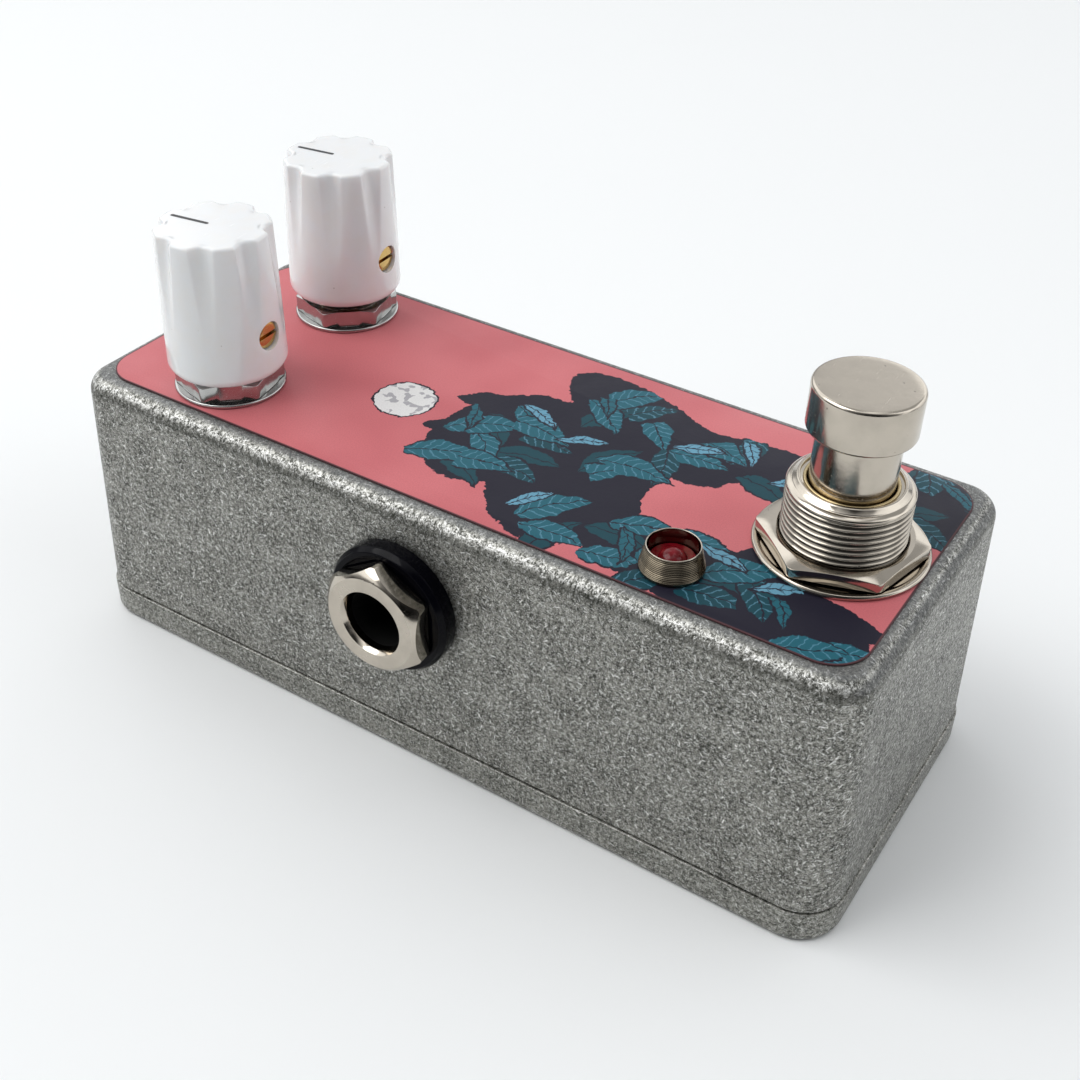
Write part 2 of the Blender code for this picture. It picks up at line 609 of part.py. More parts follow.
def make_jack(name, place, side, nickel, black, body_plastic, brass):
    """One quarter-inch jack on a side wall; in its own frame Z points out through the wall."""
    turn = jack_turn(side)
    collar = [(4.8 * MM, 0.05 * MM), (7.0 * MM, 0.05 * MM), (7.0 * MM, 1.6 * MM), (6.6 * MM, 2.2 * MM),
              (4.8 * MM, 2.2 * MM)]
    turned(f"{name}_collar", collar, black, place, turn, 36)

    face = 4.6 * MM
    nut_low = 2.25 * MM
    across = 10.75 * MM
    corner = across / math.sqrt(3)
    phase = 2.0
    corners = [math.radians(phase + 60 * k) for k in range(6)]
    loops = [[(corner * math.cos(a), corner * math.sin(a), z) for a in corners] for z in (nut_low, face)]
    nose = add_object(f"{name}_nose", lofted(loops), nickel, place, turn)
    dome = [(0, nut_low), (corner + 0.1 * MM, nut_low), (corner + 0.1 * MM, face - 0.75 * MM),
            (5.05 * MM, face), (0, face)]
    combine(nose, turned(f"{name}_dome_tool", dome, None, place, turn, 36), "INTERSECT")
    tube_part = rod(f"{name}_tube_tool", JACK_TUBE_RADIUS, -6 * MM, nut_low + 0.5 * MM, None, place, turn, 28)
    combine(nose, tube_part, "UNION")
    bore = [(0, -8 * MM), (JACK_BORE_RADIUS, -8 * MM), (JACK_BORE_RADIUS, face - 0.5 * MM),
            (JACK_BORE_RADIUS + 0.2 * MM, face), (JACK_BORE_RADIUS + 0.2 * MM, face + MM), (0, face + MM)]
    combine(nose, turned(f"{name}_bore_tool", bore, None, place, turn, 32), "DIFFERENCE")

    front = -WALL - 0.15 * MM
    back = front - JACK_BODY_DEPTH
    half_height = 7.0 * MM
    half_width = 7.2 * MM
    body = box(f"{name}_body", (-half_height, -half_width, back), (half_height, half_width, front), body_plastic,
               place, turn)
    front_bore = rod(f"{name}_front_bore", JACK_TUBE_RADIUS + 0.1 * MM, -7 * MM, 0, None, place, turn, 28)
    combine(body, front_bore, "DIFFERENCE")
    chamber = box(f"{name}_chamber", (-4.6 * MM, -4.6 * MM, back + 1.5 * MM), (5.3 * MM, 4.6 * MM, -6.5 * MM), None,
                  place, turn)
    combine(body, chamber, "DIFFERENCE")

    pivot = (4.6 * MM, -13 * MM)
    path = [pivot, (4.3 * MM, -18.5 * MM), (2.4 * MM, -23.4 * MM), (3.6 * MM, -25.2 * MM)]
    leaf(f"{name}_tip_contact", path, 0.4 * MM, 3 * MM, brass, pivot, place, turn)
    lug = box(f"{name}_terminal", (3.2 * MM, -1.3 * MM, back - 4.1 * MM), (3.7 * MM, 1.3 * MM, back - 0.1 * MM),
              brass, place, turn)
    eye_turn = (0, turn[1] + math.radians(90), 0)
    eye_place = Matrix.Translation(place) @ turn_matrix(turn) @ Vector((3.45 * MM, 0, back - 2.8 * MM))
    combine(lug, rod(f"{name}_eye_tool", 0.6 * MM, -MM, MM, None, eye_place, eye_turn, 12), "DIFFERENCE")


def make_power_socket(black, nickel, brass):
    """The round low-voltage socket in the knob end; in its own frame Z points out through the wall."""
    place = power_place()
    turn = power_turn()
    back = -11 * MM
    floor = -9.5 * MM
    socket = 2.9 * MM
    body = [(1.15 * MM, back), (POWER_BARREL_RADIUS, back), (POWER_BARREL_RADIUS, 0.05 * MM), (6.9 * MM, 0.05 * MM),
            (6.9 * MM, 1.4 * MM), (6.5 * MM, 1.8 * MM), (socket, 1.8 * MM), (socket, floor), (1.15 * MM, floor)]
    shell = turned("dc_jack_body", body, black, place, turn, 28)
    slot = box("dc_slot_tool", (2 * MM, -1.4 * MM, floor), (4.7 * MM, 1.4 * MM, -1.5 * MM), None, place, turn)
    combine(shell, slot, "DIFFERENCE")
    hexagon_nut("dc_jack_nut", 13 * MM, -4.0 * MM, -2.05 * MM, 6.0 * MM, nickel, place, turn, phase=30)
    pin = [(0, back - 2.5 * MM), (1.0 * MM, back - 2.5 * MM), (1.0 * MM, -1.4 * MM), (0.6 * MM, -1.0 * MM),
           (0, -1.0 * MM)]
    turned("dc_centre_pin", pin, nickel, place, turn, 16)
    pivot = (4.2 * MM, floor + 0.4 * MM)
    path = [pivot, (4.0 * MM, -6.5 * MM), (2.9 * MM, -4.4 * MM), (3.6 * MM, -3.0 * MM)]
    leaf("dc_contact_spring", path, 0.35 * MM, 2.0 * MM, brass, pivot, place, turn)


def make_circuit(board_finish, chip_finish, film_finish, can_finish):
    """The circuit board under the potentiometers and the components on it."""
    top = 21.7 * MM
    board = [(15 * MM, 12.5 * MM, 0.8 * MM, top - 1.6 * MM), (15 * MM, 12.5 * MM, 0.8 * MM, top)]
    add_object("circuit_board", rounded_prism(board, 2), board_finish, (0, 25.5 * MM, 0))
    seat = top + 0.1 * MM
    chip = box("ic_chip", (-4.6 * MM, -3.2 * MM, seat), (4.6 * MM, 3.2 * MM, seat + 3.3 * MM), chip_finish,
               (0, 18.5 * MM, 0))
    notch = rod("chip_notch_tool", 0.8 * MM, seat + 2.8 * MM, seat + 5 * MM, None, (-4.6 * MM, 18.5 * MM, 0),
                segments=12)
    combine(chip, notch, "DIFFERENCE")
    film = [(3.6 * MM, 1.3 * MM, 0.5 * MM, seat), (3.6 * MM, 1.3 * MM, 0.5 * MM, seat + 6 * MM)]
    add_object("film_capacitor", rounded_prism(film, 3), film_finish, (-9.8 * MM, 19.8 * MM, 0))
    can = [(0, seat), (2.5 * MM, seat), (2.5 * MM, seat + 0.8 * MM), (2.3 * MM, seat + 1.0 * MM),
           (2.5 * MM, seat + 1.2 * MM), (2.5 * MM, seat + 5.6 * MM), (2.2 * MM, seat + 6 * MM), (0, seat + 6 * MM)]
    turned("electrolytic_capacitor", can, can_finish, (9.8 * MM, 18.8 * MM, 0), segments=20)


def smooth_route(corners, per_span=4):
    """Points of a Catmull-Rom curve through the route's own points."""
    knots = [Vector(corner) * MM for corner in corners]
    padded = [2 * knots[0] - knots[1], *knots, 2 * knots[-1] - knots[-2]]
    points = []
    for a, b, c, d in zip(padded, padded[1:], padded[2:], padded[3:]):
        for step in range(per_span):
            t = step / per_span
            points.append(0.5 * (2 * b + (c - a) * t + (2 * a - 5 * b + 4 * c - d) * t * t
                                 + (3 * b - a - 3 * c + d) * t ** 3))
    points.append(knots[-1])
    return points


def make_wires(finishes):
    """Hook-up wires held all the way inside the box; route points in millimetres."""
    routes = {
        "wire_input": [(-13.0, -13.2, 14.2), (-13.6, -16.0, 11.8), (-11.0, -23.0, 10.9), (-6.6, -27.5, 8.6),
                       (-5.2, -29.0, 7.6)],
        "wire_output": [(13.0, 2.1, 21.2), (13.6, -0.4, 15.5), (10.4, -6.5, 10.7), (6.4, -16.0, 10.5),
                        (3.6, -25.2, 9.8), (4.5, -28.9, 7.6)],
        "wire_power": [(0, 31.9, 12.4), (1.5, 28.5, 11.2), (5.6, 24.6, 13.5), (6.6, 23.4, 19.6)],
        "wire_led": [(-11.63, -23.9, 26.2), (-13.2, -20.6, 24.6), (-12.4, -12.0, 27.3), (-11.2, 2.0, 27.7),
                     (-11.6, 11.8, 26.6), (-12.6, 15.4, 22.4)],
    }
    for name, corners in routes.items():
        tube(name, smooth_route(corners), 0.55 * MM, finishes[name])


def main():
    clear_scene()
    cast = material("cast_aluminium", (0.36, 0.355, 0.33), 0.5, 1.0)
    label = material("label", (0.62, 0.17, 0.19), 0.5)
    white = material("knob_plastic", (0.86, 0.86, 0.86), 0.2)
    brass = material("brass", (0.72, 0.5, 0.2), 0.3, 1.0)
    nickel = material("nickel", (0.72, 0.68, 0.62), 0.18, 1.0)
    steel = material("zinc_steel", (0.55, 0.55, 0.56), 0.35, 1.0)
    black = material("gloss_black", (0.012, 0.012, 0.016), 0.12)
    lens = material("red_lens", (0.45, 0.02, 0.02), 0.15)
    switch_blue = material("switch_blue", (0.03, 0.12, 0.4), 0.4)
    phenolic = material("phenolic", (0.25, 0.12, 0.04), 0.6)
    board = material("board_green", (0.02, 0.2, 0.08), 0.35)
    chip = material("chip_black", (0.02, 0.02, 0.02), 0.5)
    film = material("film_red", (0.5, 0.05, 0.03), 0.3)
    can = material("can_blue", (0.02, 0.05, 0.25), 0.35)
    wires = {"wire_input": material("wire_green", (0.02, 0.3, 0.06), 0.45),
             "wire_output": material("wire_white", (0.7, 0.7, 0.68), 0.45),
             "wire_power": material("wire_red", (0.5, 0.02, 0.02), 0.45),
             "wire_led": material("wire_yellow", (0.65, 0.5, 0.04), 0.45)}

    make_enclosure_box(cast)
    make_lid(cast)
    make_lid_screws(steel)
    make_label(label)
    for side in ("left", "right"):
        make_knob(side, white, brass, steel)
        make_potentiometer(side, nickel, board)
    make_lamp(nickel, lens)
    make_footswitch_top(nickel, steel)
    make_footswitch_inside(steel, switch_blue, phenolic, black)
    make_jack("output_jack", output_jack_place(), -1, nickel, black, black, brass)
    make_jack("input_jack", input_jack_place(), 1, nickel, black, black, brass)
    make_power_socket(black, nickel, brass)
    make_circuit(board, chip, film, can)
    make_wires(wires)


main()
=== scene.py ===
"""Finished looks for a small guitar effects pedal: cast box, printed label, knobs, lamp, footswitch, sockets.

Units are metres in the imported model's own frame: the origin is the centre of the lid's underside, +Z is up,
+Y is the knob end and -Y the footswitch end. Shader patterns are measured in millimetres.
"""

import math
from collections import namedtuple

import bmesh
import bpy
from mathutils import Matrix, Vector


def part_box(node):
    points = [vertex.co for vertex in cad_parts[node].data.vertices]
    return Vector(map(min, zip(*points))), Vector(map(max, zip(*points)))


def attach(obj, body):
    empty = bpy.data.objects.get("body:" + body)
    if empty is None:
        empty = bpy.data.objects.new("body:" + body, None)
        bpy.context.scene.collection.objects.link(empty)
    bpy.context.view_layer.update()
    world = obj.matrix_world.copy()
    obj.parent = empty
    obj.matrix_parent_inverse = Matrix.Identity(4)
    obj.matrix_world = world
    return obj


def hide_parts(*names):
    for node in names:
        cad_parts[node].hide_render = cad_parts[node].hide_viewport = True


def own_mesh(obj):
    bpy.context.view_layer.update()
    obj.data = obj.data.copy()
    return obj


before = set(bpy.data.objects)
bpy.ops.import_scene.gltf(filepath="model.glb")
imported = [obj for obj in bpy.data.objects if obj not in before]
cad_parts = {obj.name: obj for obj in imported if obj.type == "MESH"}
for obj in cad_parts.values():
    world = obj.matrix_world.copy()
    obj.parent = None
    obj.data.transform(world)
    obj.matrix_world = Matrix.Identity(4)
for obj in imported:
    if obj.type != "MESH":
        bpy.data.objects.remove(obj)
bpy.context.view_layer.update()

bl_info = {
    "name": "Effects Pedal Finish",
    "version": (1, 0, 0),
    "blender": (4, 5, 0),
    "location": "3D View > Sidebar > Pedal",
    "description": "Builds the visible pieces, finishes and studio of a small effects pedal",
    "category": "Object",
}

MM = 0.001
FULL_TURN = 2 * math.pi
RIGHT_ANGLE = math.radians(90)
QUARTERS = ((1, 1), (-1, 1), (-1, -1), (1, -1))
SENSOR_WIDTH = 36.0
RECESS = "recess"

# Heights and radii that the frame's nodes share
TOP = 31.0 * MM
CEILING = 29.0 * MM
LID_HEIGHT = 3.73 * MM
BOX_BOTTOM = 3.78 * MM
BOX_HALF_WIDTH = 19.25 * MM
BOX_HALF_LENGTH = 46.3 * MM
DRAFT = math.radians(2.0)
LABEL_LOW = 31.04 * MM
LABEL_TOP = 31.18 * MM
SCREW_X = 14.7 * MM
SCREW_Y = 41.7 * MM
BOX_CORNER = 4.7 * MM
TOP_FILLET = 2.0 * MM
WALL = 1.9 * MM
SEAM_STEP = 0.2 * MM
JACK_HEIGHT = 19.9 * MM
POWER_HEIGHT = 13.5 * MM
KNOB_TALL = 15.4 * MM
KNOB_POINTER_DEG = 98.0
SET_SCREW_DEG = -88.0
SET_SCREW_HEIGHT = 4.75 * MM


# ---------------------------------------------------------------- settings

def number_setting(label, text, value, low=0.0, **limits):
    return bpy.props.FloatProperty(name=label, description=text, default=value, min=low, **limits)


def share_setting(label, text, value):
    return number_setting(label, text, value, max=1.0, subtype="FACTOR")


def length_setting(label, text, value, precision=5):
    return number_setting(label, text, value, unit="LENGTH", precision=precision)


def colour_setting(label, text, value):
    return bpy.props.FloatVectorProperty(name=label, description=text, size=3, subtype="COLOR", min=0, max=1,
                                         default=value)


class PedalStageSettings(bpy.types.PropertyGroup):
    """Camera, light and floor."""

    camera_place: bpy.props.FloatVectorProperty(
        name="Camera place", description="Where the camera stands", size=3, subtype="TRANSLATION",
        unit="LENGTH", default=(-0.106262, -0.068633, 0.111879), precision=5)
    camera_forward: bpy.props.FloatVectorProperty(
        name="Camera direction", description="The way the camera looks", size=3, subtype="DIRECTION",
        default=(0.67956, 0.42172, -0.60029), precision=5)
    camera_roll: bpy.props.FloatProperty(
        name="Camera roll", description="How far the camera leans clockwise", subtype="ANGLE",
        default=math.radians(1.5924))
    lens: number_setting("Lens", "Focal length on the sensor, in millimetres", 48.83, low=10.0)
    key_power: number_setting("Key light", "Power of the soft light over the knob end, in watts", 2.4)
    side_power: number_setting("Side light", "Power of the soft light on the output side, in watts", 0.02)
    world_light: number_setting("Room light", "Brightness of the plain room", 1.72)
    room_shade: share_setting("Room shade", "Brightness of the room's dim side against its bright side", 1.0)
    room_detail: number_setting("Room detail", "How fine the room's light and dim patches are", 1.9, low=0.1)
    room_contrast: share_setting("Room contrast", "Brightness of the dim patches against the light ones", 0.3)
    backdrop_light: number_setting("Backdrop light", "Even brightness of the room that the camera sees", 0.58)
    floor_colour: colour_setting("Floor colour", "Paint of the floor", (0.87, 0.88, 0.882))


class PedalSizeSettings(bpy.types.PropertyGroup):
    """Sizes of the repeated detail."""

    flutes: bpy.props.IntProperty(
        name="Knob flutes", description="Finger flutes round each knob", default=8, min=3, max=24)
    flute_depth: length_setting("Flute depth", "How deep a flute is at the knob's top", 0.75 * MM)
    flute_start: length_setting("Flute start", "Height over the knob's base where flutes run out", 3.4 * MM)
    flute_round: length_setting("Flute radius", "Radius of a flute's hollow", 1.05 * MM)
    thread_pitch: length_setting("Switch thread pitch", "Height of one turn of its thread", 0.62 * MM)
    thread_depth: length_setting("Switch thread depth", "Depth of its thread", 0.3 * MM)
    groove_pitch: length_setting("Bezel groove spacing", "Spacing of the lamp bezel's rings", 0.165 * MM, 6)
    groove_depth: length_setting("Bezel groove depth", "Depth of the lamp bezel's rings", 0.085 * MM, 6)
    round_segments: bpy.props.IntProperty(
        name="Round segments", description="Facets round a turned piece", default=112, min=24, max=256)


class PedalFinishSettings(bpy.types.PropertyGroup):
    """Colours of the finishes."""

    # Also the colour of the painted shade on the band below the box's top-edge highlight
    cast_dark_and_shade: colour_setting("Cast metal, dark", "Hollows of the tumbled casting", (0.044, 0.045, 0.038))
    cast_light: colour_setting("Cast metal, light", "Rubbed metal of the casting", (0.46, 0.455, 0.415))
    # Also the colour of the painted highlight on the box's rounded top edge
    cast_fleck_and_highlight: colour_setting("Cast metal, flecks", "Bright tumbling marks", (0.92, 0.92, 0.90))
    label_pink: colour_setting("Label ground", "Printed ground of the label", (0.635, 0.18, 0.195))
    ink_dark: colour_setting("Ink, dark", "Darkest ink of the printed leaves", (0.016, 0.015, 0.027))
    ink_teal: colour_setting("Ink, teal", "Main ink of the printed leaves", (0.018, 0.115, 0.155))
    ink_pale: colour_setting("Ink, pale blue", "Light ink of the printed leaves", (0.13, 0.32, 0.44))
    ink_white: colour_setting("Ink, off-white", "Lightest ink of the label", (0.76, 0.75, 0.74))
    knob_white: colour_setting("Knob plastic", "Moulded plastic of the knobs", (0.80, 0.81, 0.82))
    nickel: colour_setting("Nickel plate", "Plated switch, nuts and sockets", (0.53, 0.48, 0.41))
    brass: colour_setting("Brass", "Set screws and contacts", (0.62, 0.41, 0.15))
    lens_red: colour_setting("Lamp red", "Moulded lamp lens", (0.115, 0.002, 0.005))


def stage_settings():
    return bpy.context.scene.pedal_stage


def size_settings():
    return bpy.context.scene.pedal_sizes


def finish_settings():
    return bpy.context.scene.pedal_finishes


# ---------------------------------------------------------------- mesh making

def in_mm(corners):
    """The corners of an outline written in millimetres, in metres."""
    return [tuple(value * MM for value in corner) for corner in corners]


def filleted(corners, steps=4):
    """An outline's points with each corner rounded; a corner is (across, up, radius)."""
    points = []
    count = len(corners)
    for i, (across, up, radius) in enumerate(corners):
        here = Vector((across, up))
        before = Vector(corners[i - 1][:2]) - here
        after = Vector(corners[(i + 1) % count][:2]) - here
        if radius <= 0 or before.length < 1e-7 or after.length < 1e-7:
            points.append((across, up))
            continue
        half = before.angle(after) / 2
        if half > math.radians(89):
            points.extend([(across, up)] * (steps + 1))
            continue
        reach = min(radius / math.tan(half), 0.45 * before.length, 0.45 * after.length)
        round_radius = reach * math.tan(half)
        start = before.normalized() * reach
        end = after.normalized() * reach
        centre = (start + end).normalized() * (round_radius / math.sin(half))
        spread = (start - centre).angle(end - centre)
        for k in range(steps + 1):
            share = k / steps
            arm = (start - centre) * math.sin((1 - share) * spread)
            arm += (end - centre) * math.sin(share * spread)
            place = here + centre + arm / math.sin(spread)
            points.append((place.x, place.y))
    return points


def swept_mesh(profile_at, segments):
    """A closed bmesh from an outline of (radius, z) points swept round Z.

    profile_at(angle) gives the outline there. One that starts and ends on the axis is closed by it."""
    bm = bmesh.new()
    rings = []
    for k in range(segments):
        angle = FULL_TURN * k / segments
        across, along = math.cos(angle), math.sin(angle)
        rings.append([(radius, radius * across, radius * along, z) for radius, z in profile_at(angle)])
    open_ended = rings[0][0][0] <= 1e-9
    shared = {}
    columns = []
    for ring in rings:
        column = []
        for i, (radius, x, y, z) in enumerate(ring):
            if radius <= 1e-9:
                if i not in shared:
                    shared[i] = bm.verts.new((0, 0, z))
                column.append(shared[i])
            else:
                column.append(bm.verts.new((x, y, z)))
        columns.append(column)
    steps = len(rings[0]) - 1 if open_ended else len(rings[0])
    for k in range(segments):
        this = columns[k]
        following = columns[(k + 1) % segments]
        for i in range(steps):
            j = (i + 1) % len(this)
            corners = [this[i], this[j], following[j], following[i]]
            unique = list(dict.fromkeys(corners))
            if len(unique) > 2:
                bm.faces.new(unique)
    bmesh.ops.remove_doubles(bm, verts=bm.verts, dist=2e-8)
    bmesh.ops.recalc_face_normals(bm, faces=bm.faces)
    return bm


def turned_mesh(profile, segments=None):
    count = segments or size_settings().round_segments
    return swept_mesh(lambda angle: profile, count)


def rounded_rectangle(half_x, half_y, radius, steps):
    """The outline's points, anticlockwise from the +X side."""
    points = []
    for quarter, (sx, sy) in enumerate(QUARTERS):
        for step in range(steps + 1):
            angle = RIGHT_ANGLE * (quarter + step / steps)
            x = sx * (half_x - radius) + radius * math.cos(angle)
            y = sy * (half_y - radius) + radius * math.sin(angle)
            points.append((x, y))
    return points


def lofted_mesh(loops):
    """A closed bmesh through loops of equal count, capped at both ends."""
    bm = bmesh.new()
    rings = [[bm.verts.new(point) for point in loop] for loop in loops]
    for low, high in zip(rings, rings[1:]):
        for i in range(len(low)):
            j = (i + 1) % len(low)
            bm.faces.new((low[i], low[j], high[j], high[i]))
    bm.faces.new(list(reversed(rings[0])))
    bm.faces.new(rings[-1])
    return bm


def rounded_prism(levels, steps=6):
    """A closed bmesh through rounded rectangles given as (half_x, half_y, radius, z)."""
    loops = []
    for half_x, half_y, radius, z in levels:
        loops.append([(x, y, z) for x, y in rounded_rectangle(half_x, half_y, radius, steps)])
    return lofted_mesh(loops)


def block_mesh(low, high):
    bm = bmesh.new()
    bmesh.ops.create_cube(bm, size=1.0)
    middle = (Vector(high) + Vector(low)) / 2
    size = Vector(high) - Vector(low)
    bm.transform(Matrix.Translation(middle) @ Matrix.Diagonal((*size, 1)))
    return bm


def new_piece(name, bm, place=None, sharp_deg=32):
    """Links a bmesh as an object at the origin, with its place in its mesh."""
    if place is not None:
        bm.transform(place)
    bmesh.ops.recalc_face_normals(bm, faces=bm.faces)
    mesh = bpy.data.meshes.new(name)
    bm.to_mesh(mesh)
    bm.free()
    obj = bpy.data.objects.new(name, mesh)
    bpy.context.scene.collection.objects.link(obj)
    soften(obj, sharp_deg)
    return obj


def soften(obj, sharp_deg=32):
    """Smooth shading that keeps the hard edges."""
    obj.data.shade_smooth()
    obj.data.set_sharp_from_angle(angle=math.radians(sharp_deg))


def bake_modifiers(obj):
    """Puts the evaluated mesh in the object and removes its modifiers."""
    graph = bpy.context.evaluated_depsgraph_get()
    made = bpy.data.meshes.new_from_object(obj.evaluated_get(graph))
    old = obj.data
    obj.modifiers.clear()
    obj.data = made
    made.name = obj.name
    bpy.data.meshes.remove(old)
    return obj


def move_mesh(obj, place):
    obj.data.transform(place)
    obj.data.update()
    return obj


def cut(obj, *tools, operation="DIFFERENCE", sharp_deg=32):
    """Cuts the object with the tools, one after another, and removes the tools."""
    for k, tool in enumerate(tools):
        modifier = obj.modifiers.new(f"cut {k}", "BOOLEAN")
        modifier.operation = operation
        modifier.solver = "EXACT"
        modifier.object = tool
    bake_modifiers(obj)
    for tool in tools:
        bpy.data.objects.remove(tool, do_unlink=True)
    soften(obj, sharp_deg)
    return obj


def rod_tool(radius, low, high, place=None, segments=64):
    outline = [(0, low), (radius, low), (radius, high), (0, high)]
    return new_piece("tool", turned_mesh(outline, segments), place)


def block_tool(low, high, place=None):
    return new_piece("tool", block_mesh(low, high), place)


def axis_of(node):
    """The upright axis of a round node, as a translation."""
    low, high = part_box(node)
    return Matrix.Translation(((low[0] + high[0]) / 2, (low[1] + high[1]) / 2, 0))


def settle(piece, finish, body, slot, *nodes):
    """Gives a piece its finish and its body, and hides the nodes it stands for; the slot is not used."""
    piece.data.materials.clear()
    piece.data.materials.append(finish)
    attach(piece, body)
    if nodes:
        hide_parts(*nodes)
    return piece


def paint_where(piece, finish, chosen):
    """Gives a second finish to the faces whose centres are chosen."""
    piece.data.materials.append(finish)
    index = len(piece.data.materials) - 1
    for face in piece.data.polygons:
        if chosen(face.center):
            face.material_index = index
    return piece


def hexagon_radius(angle, across_flats, phase_deg, corner_share=0.985):
    """Distance from the axis to a hexagon's side, with its corners slightly blunted."""
    turn = (math.degrees(angle) - phase_deg) % 60 - 30
    side = across_flats / 2 / math.cos(math.radians(turn))
    return min(side, corner_share * across_flats / math.sqrt(3))


def nut_mesh(across_flats, low, high, bore, phase_deg, land, slope_deg, segments=180):
    """A hexagon nut; land is the radius of its flat round face and slope_deg the chamfer's angle."""
    drop = math.tan(math.radians(slope_deg))

    def outline(angle):
        side = hexagon_radius(angle, across_flats, phase_deg)
        fall = max(side - land, 0.02 * MM) * drop
        fine = 0.05 * MM
        under = low + 0.12 * fall
        return filleted([(bore, low, 0.12 * MM), (land, low, fine), (side, under, fine),
                         (side, high - fall, fine), (land, high, fine), (bore, high, 0.12 * MM)], 3)

    return swept_mesh(outline, segments)


# ---------------------------------------------------------------- node trees

class Graph:
    """Short ways to add and join nodes in one tree."""

    def __init__(self, tree):
        self.tree = tree

    def feed(self, socket, value):
        if isinstance(value, bpy.types.NodeSocket):
            self.tree.links.new(value, socket)
        else:
            socket.default_value = value

    def add(self, kind, values=None, **settings):
        node = self.tree.nodes.new(kind)
        for name, value in settings.items():
            setattr(node, name, value)
        for key, value in (values or {}).items():
            self.feed(node.inputs[key], value)
        return node

    def math(self, operation, *values, clamp=False):
        node = self.add("ShaderNodeMath", dict(enumerate(values)), operation=operation, use_clamp=clamp)
        return node.outputs[0]

    def times(self, first, second):
        return self.math("MULTIPLY", first, second)

    def plus(self, first, second, clamp=False):
        return self.math("ADD", first, second, clamp=clamp)

    def minus(self, first, second):
        return self.math("SUBTRACT", first, second)

    def larger(self, first, second):
        return self.math("MAXIMUM", first, second)

    def vector(self, operation, *values):
        node = self.add("ShaderNodeVectorMath", dict(enumerate(values)), operation=operation)
        single = operation in {"DOT_PRODUCT", "LENGTH", "DISTANCE"}
        return node.outputs["Value" if single else "Vector"]

    def scaled(self, vector, factor):
        node = self.add("ShaderNodeVectorMath", {0: vector, "Scale": factor}, operation="SCALE")
        return node.outputs["Vector"]

    def turned(self, vector, angle):
        values = {"Vector": vector, "Angle": angle}
        return self.add("ShaderNodeVectorRotate", values, rotation_type="Z_AXIS").outputs[0]

    def parts(self, vector):
        return self.add("ShaderNodeSeparateXYZ", {0: vector}).outputs

    def joined(self, x, y, z):
        return self.add("ShaderNodeCombineXYZ", {0: x, 1: y, 2: z}).outputs[0]

    def ramp(self, value, low, high, start=0.0, end=1.0, smooth=False):
        kind = "SMOOTHSTEP" if smooth else "LINEAR"
        values = {0: value, 1: low, 2: high, 3: start, 4: end}
        return self.add("ShaderNodeMapRange", values, interpolation_type=kind, clamp=True).outputs[0]

    def mixed(self, factor, first, second):
        """Colour between first, at 0, and second, at 1."""
        node = self.add("ShaderNodeMix", data_type="RGBA")
        self.feed(node.inputs[0], factor)
        self.feed(node.inputs[6], first)
        self.feed(node.inputs[7], second)
        return node.outputs[2]

    def between(self, factor, first, second):
        node = self.add("ShaderNodeMix", data_type="FLOAT")
        self.feed(node.inputs[0], factor)
        self.feed(node.inputs[2], first)
        self.feed(node.inputs[3], second)
        return node.outputs[0]

    def noise(self, vector, scale, detail=2.0, roughness=0.5, flat=False):
        values = {"Vector": vector, "Scale": scale, "Detail": detail, "Roughness": roughness}
        node = self.add("ShaderNodeTexNoise", values, noise_dimensions="2D" if flat else "3D")
        return node.outputs[0]

    def group(self, tree, values):
        node = self.add("ShaderNodeGroup", node_tree=tree)
        for key, value in values.items():
            self.feed(node.inputs[key], value)
        return node.outputs


def shader_group(title, inputs, outputs, output_kind="Float"):
    """Turns a function that fills a node group into one that gives the group, built once.

    inputs says each number's default, or None for a vector."""
    def made_by(fill):
        def group():
            tree = bpy.data.node_groups.get(title)
            if tree is None:
                tree = bpy.data.node_groups.new(title, "ShaderNodeTree")
                for name, default in inputs.items():
                    kind = "Vector" if default is None else "Float"
                    socket = tree.interface.new_socket(name, in_out="INPUT", socket_type=f"NodeSocket{kind}")
                    if default is not None:
                        socket.default_value = default
                for name in outputs:
                    tree.interface.new_socket(name, in_out="OUTPUT", socket_type=f"NodeSocket{output_kind}")
                entry = tree.nodes.new("NodeGroupInput")
                leave = tree.nodes.new("NodeGroupOutput")
                fill(Graph(tree), entry.outputs, leave.inputs)
            return tree

        return group

    return made_by


@shader_group("Face plane", {"Vector": None, "Normal": None}, ("Plane",), "Vector")
def face_plane(graph, given, result):
    """Flat pattern coordinates on whichever way a face points."""
    size = graph.vector("ABSOLUTE", given["Normal"])
    nx, ny, nz = graph.parts(size)[0:3]
    x, y, z = graph.parts(given["Vector"])[0:3]
    side = graph.math("GREATER_THAN", nx, graph.larger(ny, nz))
    level = graph.math("GREATER_THAN", nz, graph.larger(nx, ny))
    across = graph.between(side, x, y)
    up = graph.between(level, z, y)
    shift = graph.plus(graph.times(side, 37.0), graph.times(level, 71.0))
    graph.feed(result["Plane"], graph.joined(graph.plus(across, shift), up, 0.0))


